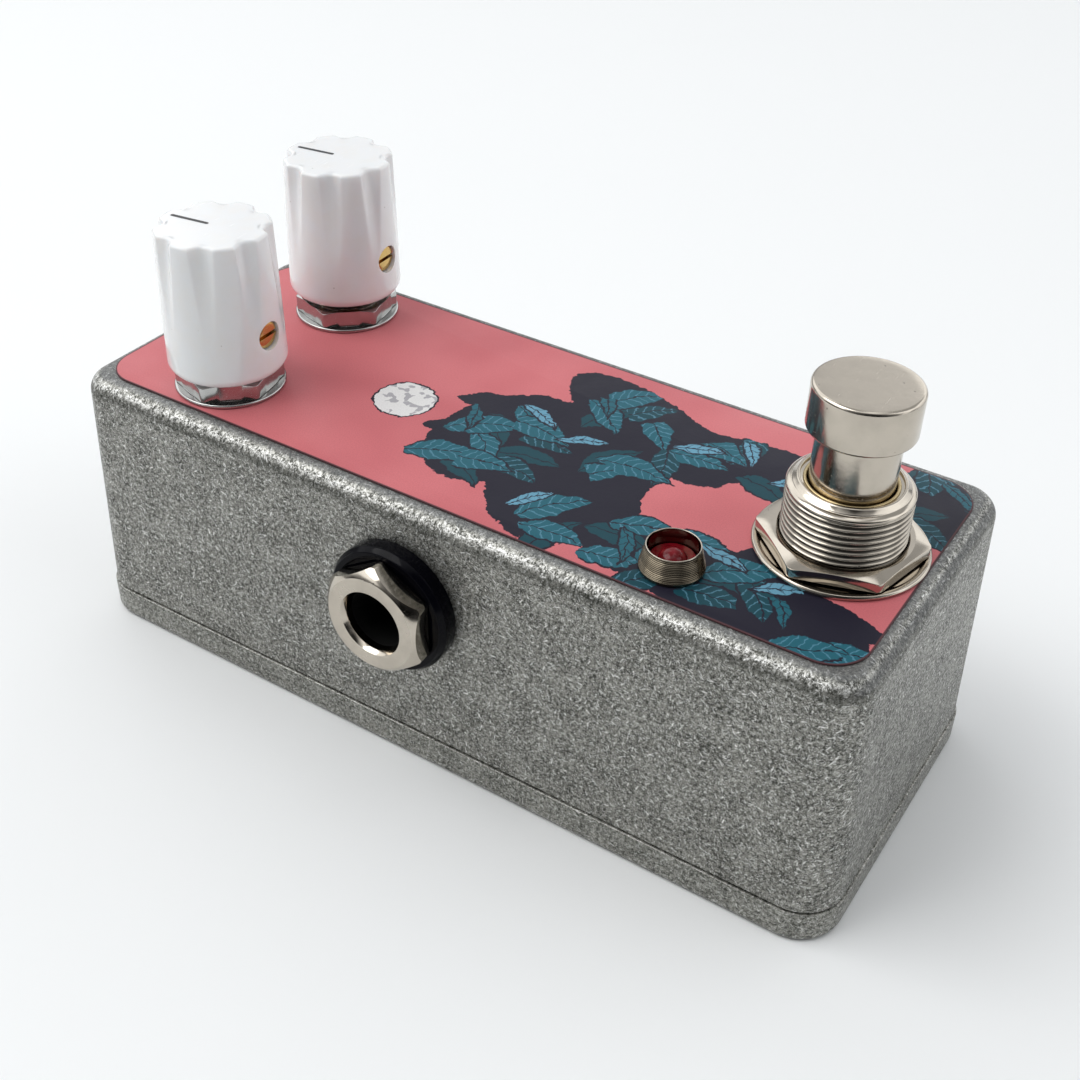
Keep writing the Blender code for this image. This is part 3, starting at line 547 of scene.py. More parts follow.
@shader_group(
    "Tumble strokes",
    {"Plane": None, "Spacing": 0.6, "Length": 0.5, "Width": 0.12},
    ("Stroke",))
def tumble_strokes(graph, given, result):
    """Short straight marks that lie every way, one to a cell; spacing in millimetres."""
    place = graph.scaled(given["Plane"], graph.math("DIVIDE", 1.0, given["Spacing"]))
    cell = graph.add("ShaderNodeTexVoronoi", {"Vector": place, "Scale": 1.0}, voronoi_dimensions="2D")
    away = graph.vector("SUBTRACT", place, cell.outputs["Position"])
    random = graph.parts(cell.outputs["Color"])
    turn = graph.times(random[0], FULL_TURN)
    lying = graph.turned(away, turn)
    along, across = graph.parts(lying)[0:2]
    length = graph.times(given["Length"], graph.plus(random[1], 0.35))
    reach = graph.math("DIVIDE", graph.math("ABSOLUTE", along), length)
    offset = graph.math("DIVIDE", graph.math("ABSOLUTE", across), given["Width"])
    outside = graph.larger(reach, offset)
    stroke = graph.ramp(outside, 1.0, 0.55)
    graph.feed(result["Stroke"], graph.times(stroke, graph.ramp(random[2], 0.1, 1.0, 0.15, 1.0)))


@shader_group(
    "Tumbled metal",
    {"Vector": None, "Normal": None, "Mark Size": 1.0, "Amount": 1.0},
    ("Tone", "Flecks", "Height"))
def tumbled_metal(graph, given, result):
    """A casting tumbled with stones: dark hollows, rubbed high spots and bright short flecks."""
    plane = graph.group(face_plane(), {"Vector": given["Vector"], "Normal": given["Normal"]})["Plane"]
    values = {"Vector": plane, "Scale": 1.6, "Detail": 1.0}
    wander = graph.add("ShaderNodeTexNoise", values, noise_dimensions="2D")
    bend = graph.vector("SUBTRACT", wander.outputs["Color"], (0.5, 0.5, 0.5))
    plane = graph.vector("ADD", plane, graph.scaled(bend, 0.08))
    strokes = []
    for k, (spacing, length, width) in enumerate(((0.95, 0.32, 0.08), (0.52, 0.36, 0.12), (0.31, 0.42, 0.16),
                                                  (1.7, 0.22, 0.05))):
        moved = graph.vector("ADD", plane, (13.7 * k, 5.1 * k, 0.0))
        values = {"Plane": moved, "Spacing": graph.times(given["Mark Size"], spacing),
                  "Length": length, "Width": width}
        strokes.append(graph.group(tumble_strokes(), values)["Stroke"])
    fine = graph.larger(strokes[1], strokes[2])
    coarse = graph.larger(strokes[0], strokes[3])
    hollow = graph.noise(plane, 2.2, 5.0, 0.72, flat=True)
    patch = graph.noise(plane, 0.35, 2.0, 0.5, flat=True)
    grain = graph.noise(plane, 5.5, 3.0, 0.75, flat=True)
    tone = graph.plus(graph.times(hollow, 0.8), graph.times(patch, 0.2))
    tone = graph.plus(graph.times(tone, 0.62), graph.times(grain, 0.38))
    flecks = graph.plus(graph.times(coarse, 0.9), graph.times(fine, 0.7), clamp=True)
    flecks = graph.times(flecks, graph.ramp(hollow, 0.36, 0.60, 0.35, 1.0))
    graph.feed(result["Tone"], graph.ramp(tone, 0.41, 0.635))
    graph.feed(result["Flecks"], graph.times(flecks, given["Amount"]))
    height = graph.plus(graph.times(tone, 0.9), graph.times(flecks, 0.35))
    graph.feed(result["Height"], height)


@shader_group(
    "Plate wear",
    {"Vector": None, "Pit Density": 1.1, "Ripple Scale": 0.8},
    ("Pits", "Smudge", "Hairlines", "Ripple"))
def plate_wear(graph, given, result):
    """Pits, smudges and hairline marks of plated or moulded surfaces, in millimetres."""
    vector = given["Vector"]
    cell = graph.add("ShaderNodeTexVoronoi", {"Vector": vector, "Scale": given["Pit Density"]})
    chosen = graph.math("GREATER_THAN", graph.parts(cell.outputs["Color"])[0], 0.86)
    dot = graph.ramp(cell.outputs["Distance"], 0.10, 0.05)
    graph.feed(result["Pits"], graph.times(dot, chosen))
    smudge = graph.noise(vector, 0.45, 3.0, 0.55)
    graph.feed(result["Smudge"], graph.ramp(smudge, 0.35, 0.7, smooth=True))
    lines = []
    for turn in ((0.3, 0.2, 1.1), (1.2, 0.9, 2.3)):
        spun = graph.add("ShaderNodeMapping", {"Vector": vector, "Rotation": turn, "Scale": (0.35, 7.0, 7.0)})
        lines.append(graph.ramp(graph.noise(spun.outputs[0], 1.0, 2.0, 0.6), 0.66, 0.74))
    graph.feed(result["Hairlines"], graph.larger(lines[0], lines[1]))
    graph.feed(result["Ripple"], graph.noise(vector, given["Ripple Scale"], 2.0, 0.5))


@shader_group("Soft oval", {"Vector": None, "Centre": None, "Radii": None, "Turn": 0.0}, ("Inside",))
def soft_oval(graph, given, result):
    """How far inside an oval a flat point is: 1 at its centre, 0 on its edge, negative outside."""
    away = graph.vector("SUBTRACT", given["Vector"], given["Centre"])
    lying = graph.turned(away, given["Turn"])
    scaled = graph.vector("DIVIDE", lying, given["Radii"])
    graph.feed(result["Inside"], graph.minus(1.0, graph.vector("LENGTH", scaled)))


@shader_group("Bush shape", {"Vector": None}, ("Inside",))
def bush_shape(graph, given, result):
    """The patch of the label that the printed leaves fill; about the distance in from its edge."""
    ovals = (
        ((-2.2, 0.6, 0.0), (9.5, 6.8, 1.0), 0.25), ((-3.5, -8.5, 0.0), (12.4, 8.0, 1.0), -0.2),
        ((7.6, -10.6, 0.0), (5.0, 12.5, 1.0), 0.42), ((-11.2, -27.0, 0.0), (4.9, 15.5, 1.0), 0.08),
        ((7.6, -23.0, 0.0), (3.9, 12.5, 1.0), -0.1), ((-13.0, -38.5, 0.0), (5.0, 4.6, 1.0), 0.0),
        ((12.2, -41.6, 0.0), (7.5, 4.4, 1.0), -0.35),
    )
    whole = None
    for centre, radii, turn in ovals:
        values = {"Vector": given["Vector"], "Centre": centre, "Radii": radii, "Turn": turn}
        inside = graph.times(graph.group(soft_oval(), values)["Inside"], min(radii[0], radii[1]))
        whole = inside if whole is None else graph.math("SMOOTH_MAX", whole, inside, 1.2)
    graph.feed(result["Inside"], whole)


@shader_group(
    "Leaf layer",
    {"Vector": None, "Shift": None, "Spacing": 6.0, "Length": 3.6, "Width": 1.3, "Line": 0.2,
     "Lean": 0.0, "Swing": 3.0, "Share": 1.0, "Margin": 0.0},
    ("Leaf", "Line", "Ribs", "Shade"))
def leaf_layer(graph, given, result):
    """One layer of scattered printed leaves, one to a cell; sizes in millimetres."""
    place = graph.vector("ADD", graph.scaled(given["Vector"], graph.math("DIVIDE", 1.0, given["Spacing"])),
                         given["Shift"])
    cell = graph.add("ShaderNodeTexVoronoi", {"Vector": place, "Scale": 1.0, "Randomness": 0.9},
                     voronoi_dimensions="2D")
    spot = graph.scaled(graph.vector("SUBTRACT", cell.outputs["Position"], given["Shift"]), given["Spacing"])
    away = graph.vector("SUBTRACT", given["Vector"], spot)
    random = graph.parts(cell.outputs["Color"])
    swing = graph.times(graph.minus(random[0], 0.5), given["Swing"])
    turn = graph.plus(swing, given["Lean"])
    lying = graph.turned(away, turn)
    along, across = graph.parts(lying)[0:2]
    bow = graph.times(graph.times(along, along), 0.045)
    across = graph.plus(across, bow)
    share = graph.math("DIVIDE", along, given["Length"])
    round_off = graph.minus(1.0, graph.times(share, share))
    tip = graph.ramp(share, -1.0, 1.0, 1.18, 0.55)
    half_width = graph.times(graph.times(round_off, tip), given["Width"])
    side = graph.math("ABSOLUTE", across)
    depth = graph.minus(half_width, side)
    kept = graph.math("GREATER_THAN", given["Share"], random[2])
    inside = graph.group(bush_shape(), {"Vector": spot})["Inside"]
    kept = graph.times(kept, graph.math("GREATER_THAN", inside, given["Margin"]))
    graph.feed(result["Leaf"], graph.times(graph.ramp(depth, 0.0, 0.05), kept))
    rim = graph.ramp(depth, given["Line"], graph.times(given["Line"], 0.7))
    line = graph.larger(rim, graph.ramp(side, 0.09, 0.05))
    slant = graph.plus(graph.times(along, 0.95), graph.times(side, -0.8))
    rib = graph.math("ABSOLUTE", graph.minus(graph.math("FRACT", slant), 0.5))
    ribs = graph.times(graph.ramp(rib, 0.11, 0.06), graph.ramp(depth, 0.25, 0.35))
    graph.feed(result["Line"], graph.times(line, kept))
    graph.feed(result["Ribs"], graph.times(ribs, kept))
    graph.feed(result["Shade"], random[1])


@shader_group("Sheet edge", {"Vector": None, "Inner Half": None, "Corner": 3.95}, ("Depth",))
def sheet_edge(graph, given, result):
    """Distance in from the edge of a round-cornered sheet, near that edge, in millimetres."""
    folded = graph.vector("ABSOLUTE", given["Vector"])
    past = graph.vector("SUBTRACT", folded, given["Inner Half"])
    outside = graph.vector("MAXIMUM", past, (0.0, 0.0, 0.0))
    x, y = graph.parts(outside)[0:2]
    away = graph.vector("LENGTH", graph.joined(x, y, 0.0))
    graph.feed(result["Depth"], graph.minus(given["Corner"], away))


# ---------------------------------------------------------------- finishes

class FinishGraph(Graph):
    """The nodes of a new material, with its normals and its pattern coordinates in millimetres."""

    def __init__(self, name):
        self.finish = bpy.data.materials.new(name)
        self.finish.use_nodes = True
        super().__init__(self.finish.node_tree)
        coordinates = self.add("ShaderNodeTexCoord")
        self.normal = coordinates.outputs["Normal"]
        self.place = self.scaled(coordinates.outputs["Object"], 1 / MM)

    def surface(self, name, value):
        """Feeds one of the shader's inputs."""
        self.feed(self.tree.nodes["Principled BSDF"].inputs[name], value)

    def bump(self, height, distance, strength):
        node = self.add("ShaderNodeBump", {"Height": height, "Distance": distance, "Strength": strength})
        self.surface("Normal", node.outputs[0])


def full_colour(colour, share=1.0):
    """A shader colour, with each channel multiplied by the share."""
    return (*(share * channel for channel in colour), 1.0)


def kept_finish(title):
    """Turns a function that fills a finish's graph into one that gives the finish, built once."""
    def made_by(fill):
        def finish():
            kept = bpy.data.materials.get(title)
            if kept is None:
                graph = FinishGraph(title)
                fill(graph)
                kept = graph.finish
            return kept

        return finish

    return made_by


@kept_finish("Tumbled cast aluminium")
def cast_metal(graph):
    """The box's casting, with a painted highlight on its rounded top edge, and painted shade on that edge at
    the footswitch end, on the band below the highlight and on the flat rim round the label.
    """
    colours = finish_settings()
    values = {"Vector": graph.place, "Normal": graph.normal, "Mark Size": 1.0, "Amount": 1.0}
    marks = graph.group(tumbled_metal(), values)
    colour = graph.mixed(marks["Tone"], full_colour(colours.cast_dark_and_shade), full_colour(colours.cast_light))
    towards = graph.parts(graph.normal)
    tilt = towards[2]
    colour = graph.mixed(marks["Flecks"], colour, full_colour(colours.cast_fleck_and_highlight))
    # Painted highlight: the rounded top edge, where normals tilt half way up, is whitened in mottled patches
    # as if it caught the soft light; the footswitch end is left out
    rubbed = graph.times(graph.ramp(tilt, 0.50, 0.66), graph.ramp(tilt, 0.90, 0.74))
    footswitch_end_faces = graph.ramp(towards[1], -0.50, -0.68)
    rubbed = graph.times(rubbed, graph.minus(1.0, footswitch_end_faces))
    painted_highlight_share = graph.times(rubbed, graph.ramp(marks["Tone"], 0.3, 0.75, 0.0, 0.62))
    colour = graph.mixed(painted_highlight_share, colour, full_colour(colours.cast_fleck_and_highlight))
    # Painted shade: the rounded top edge at the footswitch end is darkened to a dull grey as if it faced away
    # from the light
    dull = graph.times(footswitch_end_faces, graph.ramp(tilt, 0.30, 0.52, 0.0, 0.62))
    colour = graph.mixed(dull, colour, (0.085, 0.088, 0.093, 1.0))
    # Painted shade: the lower part of the rounded top edge, below the highlight, is darkened towards the
    # casting's dark tone
    under = graph.times(graph.ramp(tilt, 0.03, 0.16), graph.ramp(tilt, 0.52, 0.36))
    colour = graph.mixed(graph.times(under, 0.42), colour, full_colour(colours.cast_dark_and_shade))
    # Painted shade: faces that point straight up, the flat rim round the label, are greyed as if they caught
    # little light
    flat = graph.ramp(tilt, 0.86, 0.97, 0.0, 0.6)
    colour = graph.mixed(flat, colour, (0.165, 0.17, 0.175, 1.0))
    graph.surface("Base Color", colour)
    roughness = graph.ramp(marks["Tone"], 0.0, 1.0, 0.52, 0.36)
    graph.surface("Roughness", graph.between(marks["Flecks"], roughness, 0.30))
    graph.surface("Metallic", 0.85)
    graph.bump(marks["Height"], 0.08 * MM, 0.9)


@kept_finish("Tumbled cast lid")
def lid_metal(graph):
    """The lid's casting, smoother than the box, with fewer marks."""
    colours = finish_settings()
    values = {"Vector": graph.place, "Normal": graph.normal, "Mark Size": 0.9, "Amount": 0.75}
    marks = graph.group(tumbled_metal(), values)
    dark = full_colour(colours.cast_dark_and_shade, 1.35)
    colour = graph.mixed(marks["Tone"], dark, full_colour(colours.cast_light))
    colour = graph.mixed(marks["Flecks"], colour, full_colour(colours.cast_fleck_and_highlight))
    graph.surface("Base Color", colour)
    graph.surface("Roughness", graph.ramp(marks["Tone"], 0.0, 1.0, 0.48, 0.36))
    graph.surface("Metallic", 0.85)
    graph.bump(marks["Height"], 0.03 * MM, 0.7)


def hand_drawn(graph, flat):
    """The flat coordinates with a slight wander, so that printed shapes look drawn."""
    values = {"Vector": flat, "Scale": 0.55, "Detail": 3.0, "Roughness": 0.65}
    wander = graph.add("ShaderNodeTexNoise", values, noise_dimensions="2D")
    shift = graph.vector("SUBTRACT", wander.outputs["Color"], (0.5, 0.5, 0.5))
    return graph.vector("ADD", flat, graph.scaled(shift, 1.1))


def printed_ground(graph, flat, colours):
    blot = graph.noise(flat, 0.07, 2.0, 0.5, flat=True)
    pink = colours.label_pink
    deep = full_colour((0.88 * pink[0], 0.80 * pink[1], 0.82 * pink[2]))
    return graph.mixed(graph.ramp(blot, 0.35, 0.7), full_colour(pink), deep)


# One printed layer: its spacing and leaf size in millimetres, how it lies, and its two inks
LeafInk = namedtuple("LeafInk", "spacing length width lean swing share margin inks ribs")


def printed_leaves(graph, drawn, ground, colours):
    dark = full_colour(colours.ink_dark)
    teal = full_colour(colours.ink_teal)
    pale = full_colour(colours.ink_pale)
    deep = full_colour(colours.ink_teal, 0.5)
    mass = graph.group(bush_shape(), {"Vector": drawn})["Inside"]
    inked = graph.mixed(graph.ramp(mass, 0.0, 0.06), ground, dark)
    layers = (
        LeafInk(6.8, 4.3, 1.9, lean=1.2, swing=2.2, share=1.0, margin=-0.6, inks=(dark, deep), ribs=0.0),
        LeafInk(6.2, 4.0, 1.9, lean=2.0, swing=2.6, share=0.95, margin=0.3, inks=(teal, deep), ribs=0.5),
        LeafInk(7.0, 4.6, 2.2, lean=0.9, swing=1.8, share=0.62, margin=0.9, inks=(teal, teal), ribs=0.45),
        LeafInk(5.2, 3.3, 1.05, lean=1.5, swing=2.8, share=0.38, margin=0.7, inks=(pale, teal), ribs=0.6),
    )
    for k, layer in enumerate(layers):
        values = {"Vector": drawn, "Shift": (7.3 * k + 2.1, 3.7 * k + 0.4, 0.0), "Spacing": layer.spacing,
                  "Length": layer.length, "Width": layer.width, "Line": 0.3, "Lean": layer.lean,
                  "Swing": layer.swing, "Share": layer.share, "Margin": layer.margin}
        leaf = graph.group(leaf_layer(), values)
        fill = graph.mixed(graph.math("GREATER_THAN", leaf["Shade"], 0.5), *layer.inks)
        rib_ink = dark if layer.inks[0] == pale else pale
        fill = graph.mixed(graph.times(leaf["Ribs"], layer.ribs), fill, rib_ink)
        fill = graph.mixed(leaf["Line"], fill, dark)
        inked = graph.mixed(leaf["Leaf"], inked, fill)
    return inked


def printed_disc(graph, drawn, inked, colours):
    """A plain off-white disc with a dark outline above the leaves."""
    radius = 3.3
    values = {"Vector": drawn, "Centre": (-2.2, 13.0, 0.0), "Radii": (radius, radius, 1.0), "Turn": 0.0}
    depth = graph.times(graph.group(soft_oval(), values)["Inside"], radius)
    mottle = graph.noise(drawn, 0.9, 1.0, 0.5, flat=True)
    paper = full_colour(colours.ink_white)
    white = graph.mixed(graph.ramp(mottle, 0.58, 0.61), paper, (0.42, 0.41, 0.43, 1.0))
    inked = graph.mixed(graph.ramp(depth, -0.22, -0.16), inked, full_colour(colours.ink_dark))
    return graph.mixed(graph.ramp(depth, 0.0, 0.05), inked, white)


@kept_finish("Printed label")
def label_print(graph):
    """Satin printed film: a pink ground with a bush of leaves in dark, teal and pale ink."""
    colours = finish_settings()
    flat = graph.vector("MULTIPLY", graph.place, (1.0, 1.0, 0.0))
    grain = graph.noise(flat, 7.0, 2.0, 0.7, flat=True)
    ground = printed_ground(graph, flat, colours)
    inked = printed_leaves(graph, hand_drawn(graph, flat), ground, colours)
    inked = printed_disc(graph, hand_drawn(graph, flat), inked, colours)
    values = {"Vector": flat, "Inner Half": (12.15, 39.45, 0.0), "Corner": 3.95}
    edge = graph.group(sheet_edge(), values)["Depth"]
    inked = graph.mixed(graph.ramp(edge, 0.20, 0.12), inked, (0.09, 0.04, 0.045, 1.0))
    speckled = graph.mixed(graph.ramp(grain, 0.35, 0.72, 0.0, 0.13), inked, (0.02, 0.015, 0.02, 1.0))
    graph.surface("Base Color", speckled)
    patch = graph.noise(flat, 0.25, 2.0, 0.5, flat=True)
    graph.surface("Roughness", graph.ramp(patch, 0.3, 0.7, 0.36, 0.46))
    graph.surface("Specular IOR Level", 0.16)
    peel = graph.plus(graph.times(grain, 0.5), graph.noise(flat, 1.7, 2.0, 0.5, flat=True))
    graph.bump(peel, 0.012 * MM, 0.6)


@kept_finish("Glossy white plastic")
def knob_plastic(graph):
    place = graph.place
    white = finish_settings().knob_white
    wear = graph.group(plate_wear(), {"Vector": place, "Pit Density": 0.9, "Ripple Scale": 0.5})
    warm = full_colour((white[0], 0.985 * white[1], 0.965 * white[2]))
    colour = graph.mixed(wear["Smudge"], full_colour(white), warm)
    graph.surface("Base Color", graph.mixed(wear["Pits"], colour, (0.55, 0.54, 0.52, 1.0)))
    roughness = graph.ramp(wear["Smudge"], 0.0, 1.0, 0.10, 0.16)
    graph.surface("Roughness", graph.between(wear["Hairlines"], roughness, 0.3))
    graph.surface("Subsurface Weight", 0.5)
    graph.surface("Subsurface Radius", (0.9, 0.8, 0.75))
    graph.surface("Subsurface Scale", 1.2 * MM)
    graph.surface("Coat Weight", 0.35)
    graph.surface("Coat Roughness", 0.05)
    graph.bump(wear["Ripple"], 0.03 * MM, 0.35)


def plated(name, colour, roughness, pit=0.35, ripple=0.02, metallic=1.0):
    """A plated or polished metal with pits, smudges and hairlines, and painted shade in the valleys of its
    threads and grooves.
    """
    @kept_finish(name)
    def build(graph):
        wear = graph.group(plate_wear(), {"Vector": graph.place, "Pit Density": 1.1, "Ripple Scale": 0.8})
        dull = full_colour(colour, 0.9)
        tint = graph.mixed(wear["Smudge"], full_colour(colour), dull)
        dark = full_colour(colour, pit)
        recess = graph.add("ShaderNodeAttribute", attribute_name=RECESS).outputs["Fac"]
        groove_shade = full_colour(colour, 0.10)
        # Painted shade: thread and groove valleys are darkened by how deep they lie, from the recess
        # attribute
        tint = graph.mixed(graph.ramp(recess, 0.08, 0.6, 0.0, 0.95), tint, groove_shade)
        graph.surface("Base Color", graph.mixed(wear["Pits"], tint, dark))
        base = graph.ramp(wear["Smudge"], 0.0, 1.0, roughness, roughness + 0.07)
        base = graph.between(wear["Hairlines"], base, roughness + 0.16)
        graph.surface("Roughness", base)
        graph.surface("Metallic", metallic)
        height = graph.minus(wear["Ripple"], wear["Pits"])
        graph.bump(height, ripple * MM, 0.5)

    return build()


def nickel():
    return plated("Nickel plate", finish_settings().nickel, 0.09)


def nickel_painted_dark():
    # A darker copy of the nickel plate: a painted dark reflection for the lamp bezel
    return plated("Nickel plate, painted dark reflection", (0.20, 0.17, 0.125), 0.10, ripple=0.006)


def switch_nickel():
    return plated("Warm switch nickel", finish_settings().nickel, 0.13)


def grey_nickel():
    return plated("Grey nickel plate", (0.47, 0.47, 0.46), 0.14)


def worn_lip():
    return plated("Worn brass lip", (0.56, 0.45, 0.26), 0.2)


def satin_nickel():
    return plated("Satin nickel plate", finish_settings().nickel, 0.27)


def brass():
    return plated("Turned brass", finish_settings().brass, 0.16)


def zinc_steel():
    return plated("Zinc plated steel", (0.55, 0.55, 0.56), 0.33)


def moulded(name, colour, roughness, coat=0.0, grain=0.012, gloss=0.5):
    """A moulded plastic with fine grain and slightly uneven gloss."""
    @kept_finish(name)
    def build(graph):
        wear = graph.group(plate_wear(), {"Vector": graph.place, "Pit Density": 1.6, "Ripple Scale": 5.0})
        lighter = full_colour([min(1.0, 1.3 * channel) for channel in colour])
        tint = graph.mixed(wear["Smudge"], full_colour(colour), lighter)
        dust = full_colour([min(1.0, 1.6 * channel + 0.002) for channel in colour])
        graph.surface("Base Color", graph.mixed(wear["Hairlines"], tint, dust))
        base = graph.ramp(wear["Smudge"], 0.0, 1.0, roughness, roughness + 0.06)
        graph.surface("Roughness", base)
        graph.surface("Specular IOR Level", gloss)
        graph.surface("Coat Weight", coat)
        graph.surface("Coat Roughness", 0.06)
        graph.bump(wear["Ripple"], grain * MM, 0.5)

    return build()


def gloss_black():
    return moulded("Gloss black plastic", (0.0015, 0.0015, 0.003), 0.07, grain=0.003, gloss=0.075)


@kept_finish("Red lamp lens")
def lamp_lens(graph):
    place = graph.place
    red = finish_settings().lens_red
    cloud = graph.noise(place, 1.6, 2.0, 0.5)
    bright = full_colour((min(1.0, 1.5 * red[0]), 2.2 * red[1], 2.0 * red[2]))
    graph.surface("Base Color", graph.mixed(graph.ramp(cloud, 0.4, 0.62), full_colour(red), bright))
    graph.surface("Roughness", graph.ramp(cloud, 0.3, 0.7, 0.16, 0.24))
    graph.surface("Coat Weight", 0.25)
    graph.surface("Coat Roughness", 0.03)
    graph.surface("Specular IOR Level", 0.15)
    graph.bump(cloud, 0.02 * MM, 0.3)


@kept_finish("Green circuit board")
def woven_board(graph):
    """Glass-cloth circuit board under a green solder mask."""
    x, y = graph.parts(graph.place)[0:2]
    warp = graph.math("SINE", graph.times(x, 9.0))
    weft = graph.math("SINE", graph.times(y, 9.0))
    weave = graph.times(warp, weft)
    colour = graph.mixed(graph.ramp(weave, -1.0, 1.0), (0.008, 0.12, 0.045, 1.0), (0.014, 0.17, 0.07, 1.0))
    track_x = graph.math("FRACT", graph.times(x, 0.2))
    track_y = graph.math("FRACT", graph.times(y, 0.33))
    track = graph.larger(graph.ramp(track_x, 0.12, 0.10), graph.ramp(track_y, 0.10, 0.08))
    graph.surface("Base Color", graph.mixed(track, colour, (0.03, 0.27, 0.12, 1.0)))
    graph.surface("Roughness", graph.ramp(weave, -1.0, 1.0, 0.28, 0.36))
    height = graph.plus(graph.times(weave, 0.3), track)
    graph.bump(height, 0.02 * MM, 0.6)


@kept_finish("Brown insulating board")
def phenolic(graph):
    """Brown paper-based insulating board."""
    stretched = graph.add("ShaderNodeMapping", {"Vector": graph.place, "Scale": (0.6, 4.0, 4.0)})
    fibre = graph.noise(stretched.outputs[0], 1.2, 3.0, 0.6)
    colour = graph.mixed(graph.ramp(fibre, 0.35, 0.65), (0.14, 0.055, 0.018, 1.0), (0.27, 0.12, 0.045, 1.0))
    graph.surface("Base Color", colour)
    graph.surface("Roughness", graph.ramp(fibre, 0.3, 0.7, 0.45, 0.6))
    graph.bump(fibre, 0.02 * MM, 0.5)


def slot_finish(slot):
    """The finish for a carried-over node, by its material slot."""
    makers = {
        "cast_aluminium": cast_metal,
        "zinc_steel": zinc_steel,
        "label_print": label_print,
        "knob_plastic": knob_plastic,
        "brass": brass,
        "nickel": nickel,
        "black_gloss": gloss_black,
        "red_lens": lamp_lens,
        "phenolic_board": phenolic,
        "board_green": woven_board,
        "pot_case": lambda: moulded("Green pot moulding", (0.03, 0.16, 0.09), 0.4, grain=0.02),
        "black_plastic": lambda: moulded("Black moulding", (0.02, 0.02, 0.022), 0.42, grain=0.02),
        "switch_blue": lambda: moulded("Blue switch body", (0.02, 0.09, 0.36), 0.36, grain=0.02),
        "film_red": lambda: moulded("Dipped red film", (0.42, 0.035, 0.02), 0.28, coat=0.3),
        "can_blue": lambda: moulded("Blue can sleeve", (0.015, 0.04, 0.22), 0.33),
        "wire_green": lambda: moulded("Green wire skin", (0.02, 0.25, 0.05), 0.42),
        "wire_white": lambda: moulded("White wire skin", (0.66, 0.66, 0.63), 0.42),
        "wire_red": lambda: moulded("Red wire skin", (0.45, 0.02, 0.02), 0.42),
        "wire_yellow": lambda: moulded("Yellow wire skin", (0.62, 0.45, 0.04), 0.42),
    }
    return makers[slot]()


# ---------------------------------------------------------------- geometry nodes

def new_geometry_tree(title, inputs, fill):
    """A geometry tree that moves a mesh's points in or out and notes how deep each one lies."""
    tree = bpy.data.node_groups.new(title, "GeometryNodeTree")
    tree.interface.new_socket("Geometry", in_out="INPUT", socket_type="NodeSocketGeometry")
    for name, default in inputs.items():
        socket = tree.interface.new_socket(name, in_out="INPUT", socket_type="NodeSocketFloat")
        socket.default_value = default
    tree.interface.new_socket("Material", in_out="INPUT", socket_type="NodeSocketMaterial")
    tree.interface.new_socket("Geometry", in_out="OUTPUT", socket_type="NodeSocketGeometry")
    entry = tree.nodes.new("NodeGroupInput").outputs
    leave = tree.nodes.new("NodeGroupOutput").inputs
    graph = Graph(tree)
    place = graph.add("GeometryNodeInputPosition").outputs[0]
    x, y, z = graph.parts(place)[0:3]
    flat = graph.joined(x, y, 0.0)
    radius = graph.vector("LENGTH", flat)
    outward = graph.vector("NORMALIZE", flat)
    turn = graph.math("ARCTAN2", y, x)
    shift, recess = fill(graph, entry, radius, turn, z)
    values = {"Geometry": entry["Geometry"], "Name": RECESS, "Value": recess}
    marked = graph.add("GeometryNodeStoreNamedAttribute", values, data_type="FLOAT", domain="POINT")
    values = {"Geometry": marked.outputs[0], "Offset": graph.scaled(outward, shift)}
    moved = graph.add("GeometryNodeSetPosition", values)
    solid = graph.add("GeometryNodeRealizeInstances", {"Geometry": moved.outputs[0]})
    painted = graph.add("GeometryNodeSetMaterial",
                        {"Geometry": solid.outputs[0], "Material": entry["Material"]})
    graph.feed(leave["Geometry"], painted.outputs[0])
    return tree


def geometry_tree(title, inputs):
    """Turns a function that says how far points move into one that gives the tree, built once."""
    def made_by(fill):
        return lambda: bpy.data.node_groups.get(title) or new_geometry_tree(title, inputs, fill)

    return made_by


@geometry_tree(
    "Turned ridges",
    {"Pitch": 0.62 * MM, "Depth": 0.3 * MM, "Starts": 1.0, "Low": 0.0, "High": 0.01,
     "Fade": 0.3 * MM, "Core Radius": 0.005, "Crest Width": 1.0})
def ridge_tree(graph, given, radius, turn, z):
    """Rings or a screw thread, cut inwards: the crests stay at the piece's own radius."""
    climb = graph.times(graph.math("DIVIDE", turn, FULL_TURN), given["Starts"])
    phase = graph.minus(graph.math("DIVIDE", z, given["Pitch"]), climb)
    wave = graph.math("COSINE", graph.times(phase, FULL_TURN))
    hollow = graph.times(graph.minus(1.0, wave), 0.5)
    hollow = graph.math("POWER", hollow, given["Crest Width"])
    rise = graph.math("DIVIDE", graph.minus(z, given["Low"]), given["Fade"], clamp=True)
    fall = graph.math("DIVIDE", graph.minus(given["High"], z), given["Fade"], clamp=True)
    window = graph.times(rise, fall)
    outer = graph.math("GREATER_THAN", radius, given["Core Radius"])
    recess = graph.times(hollow, graph.times(window, outer))
    return graph.times(graph.times(recess, given["Depth"]), -1.0), recess


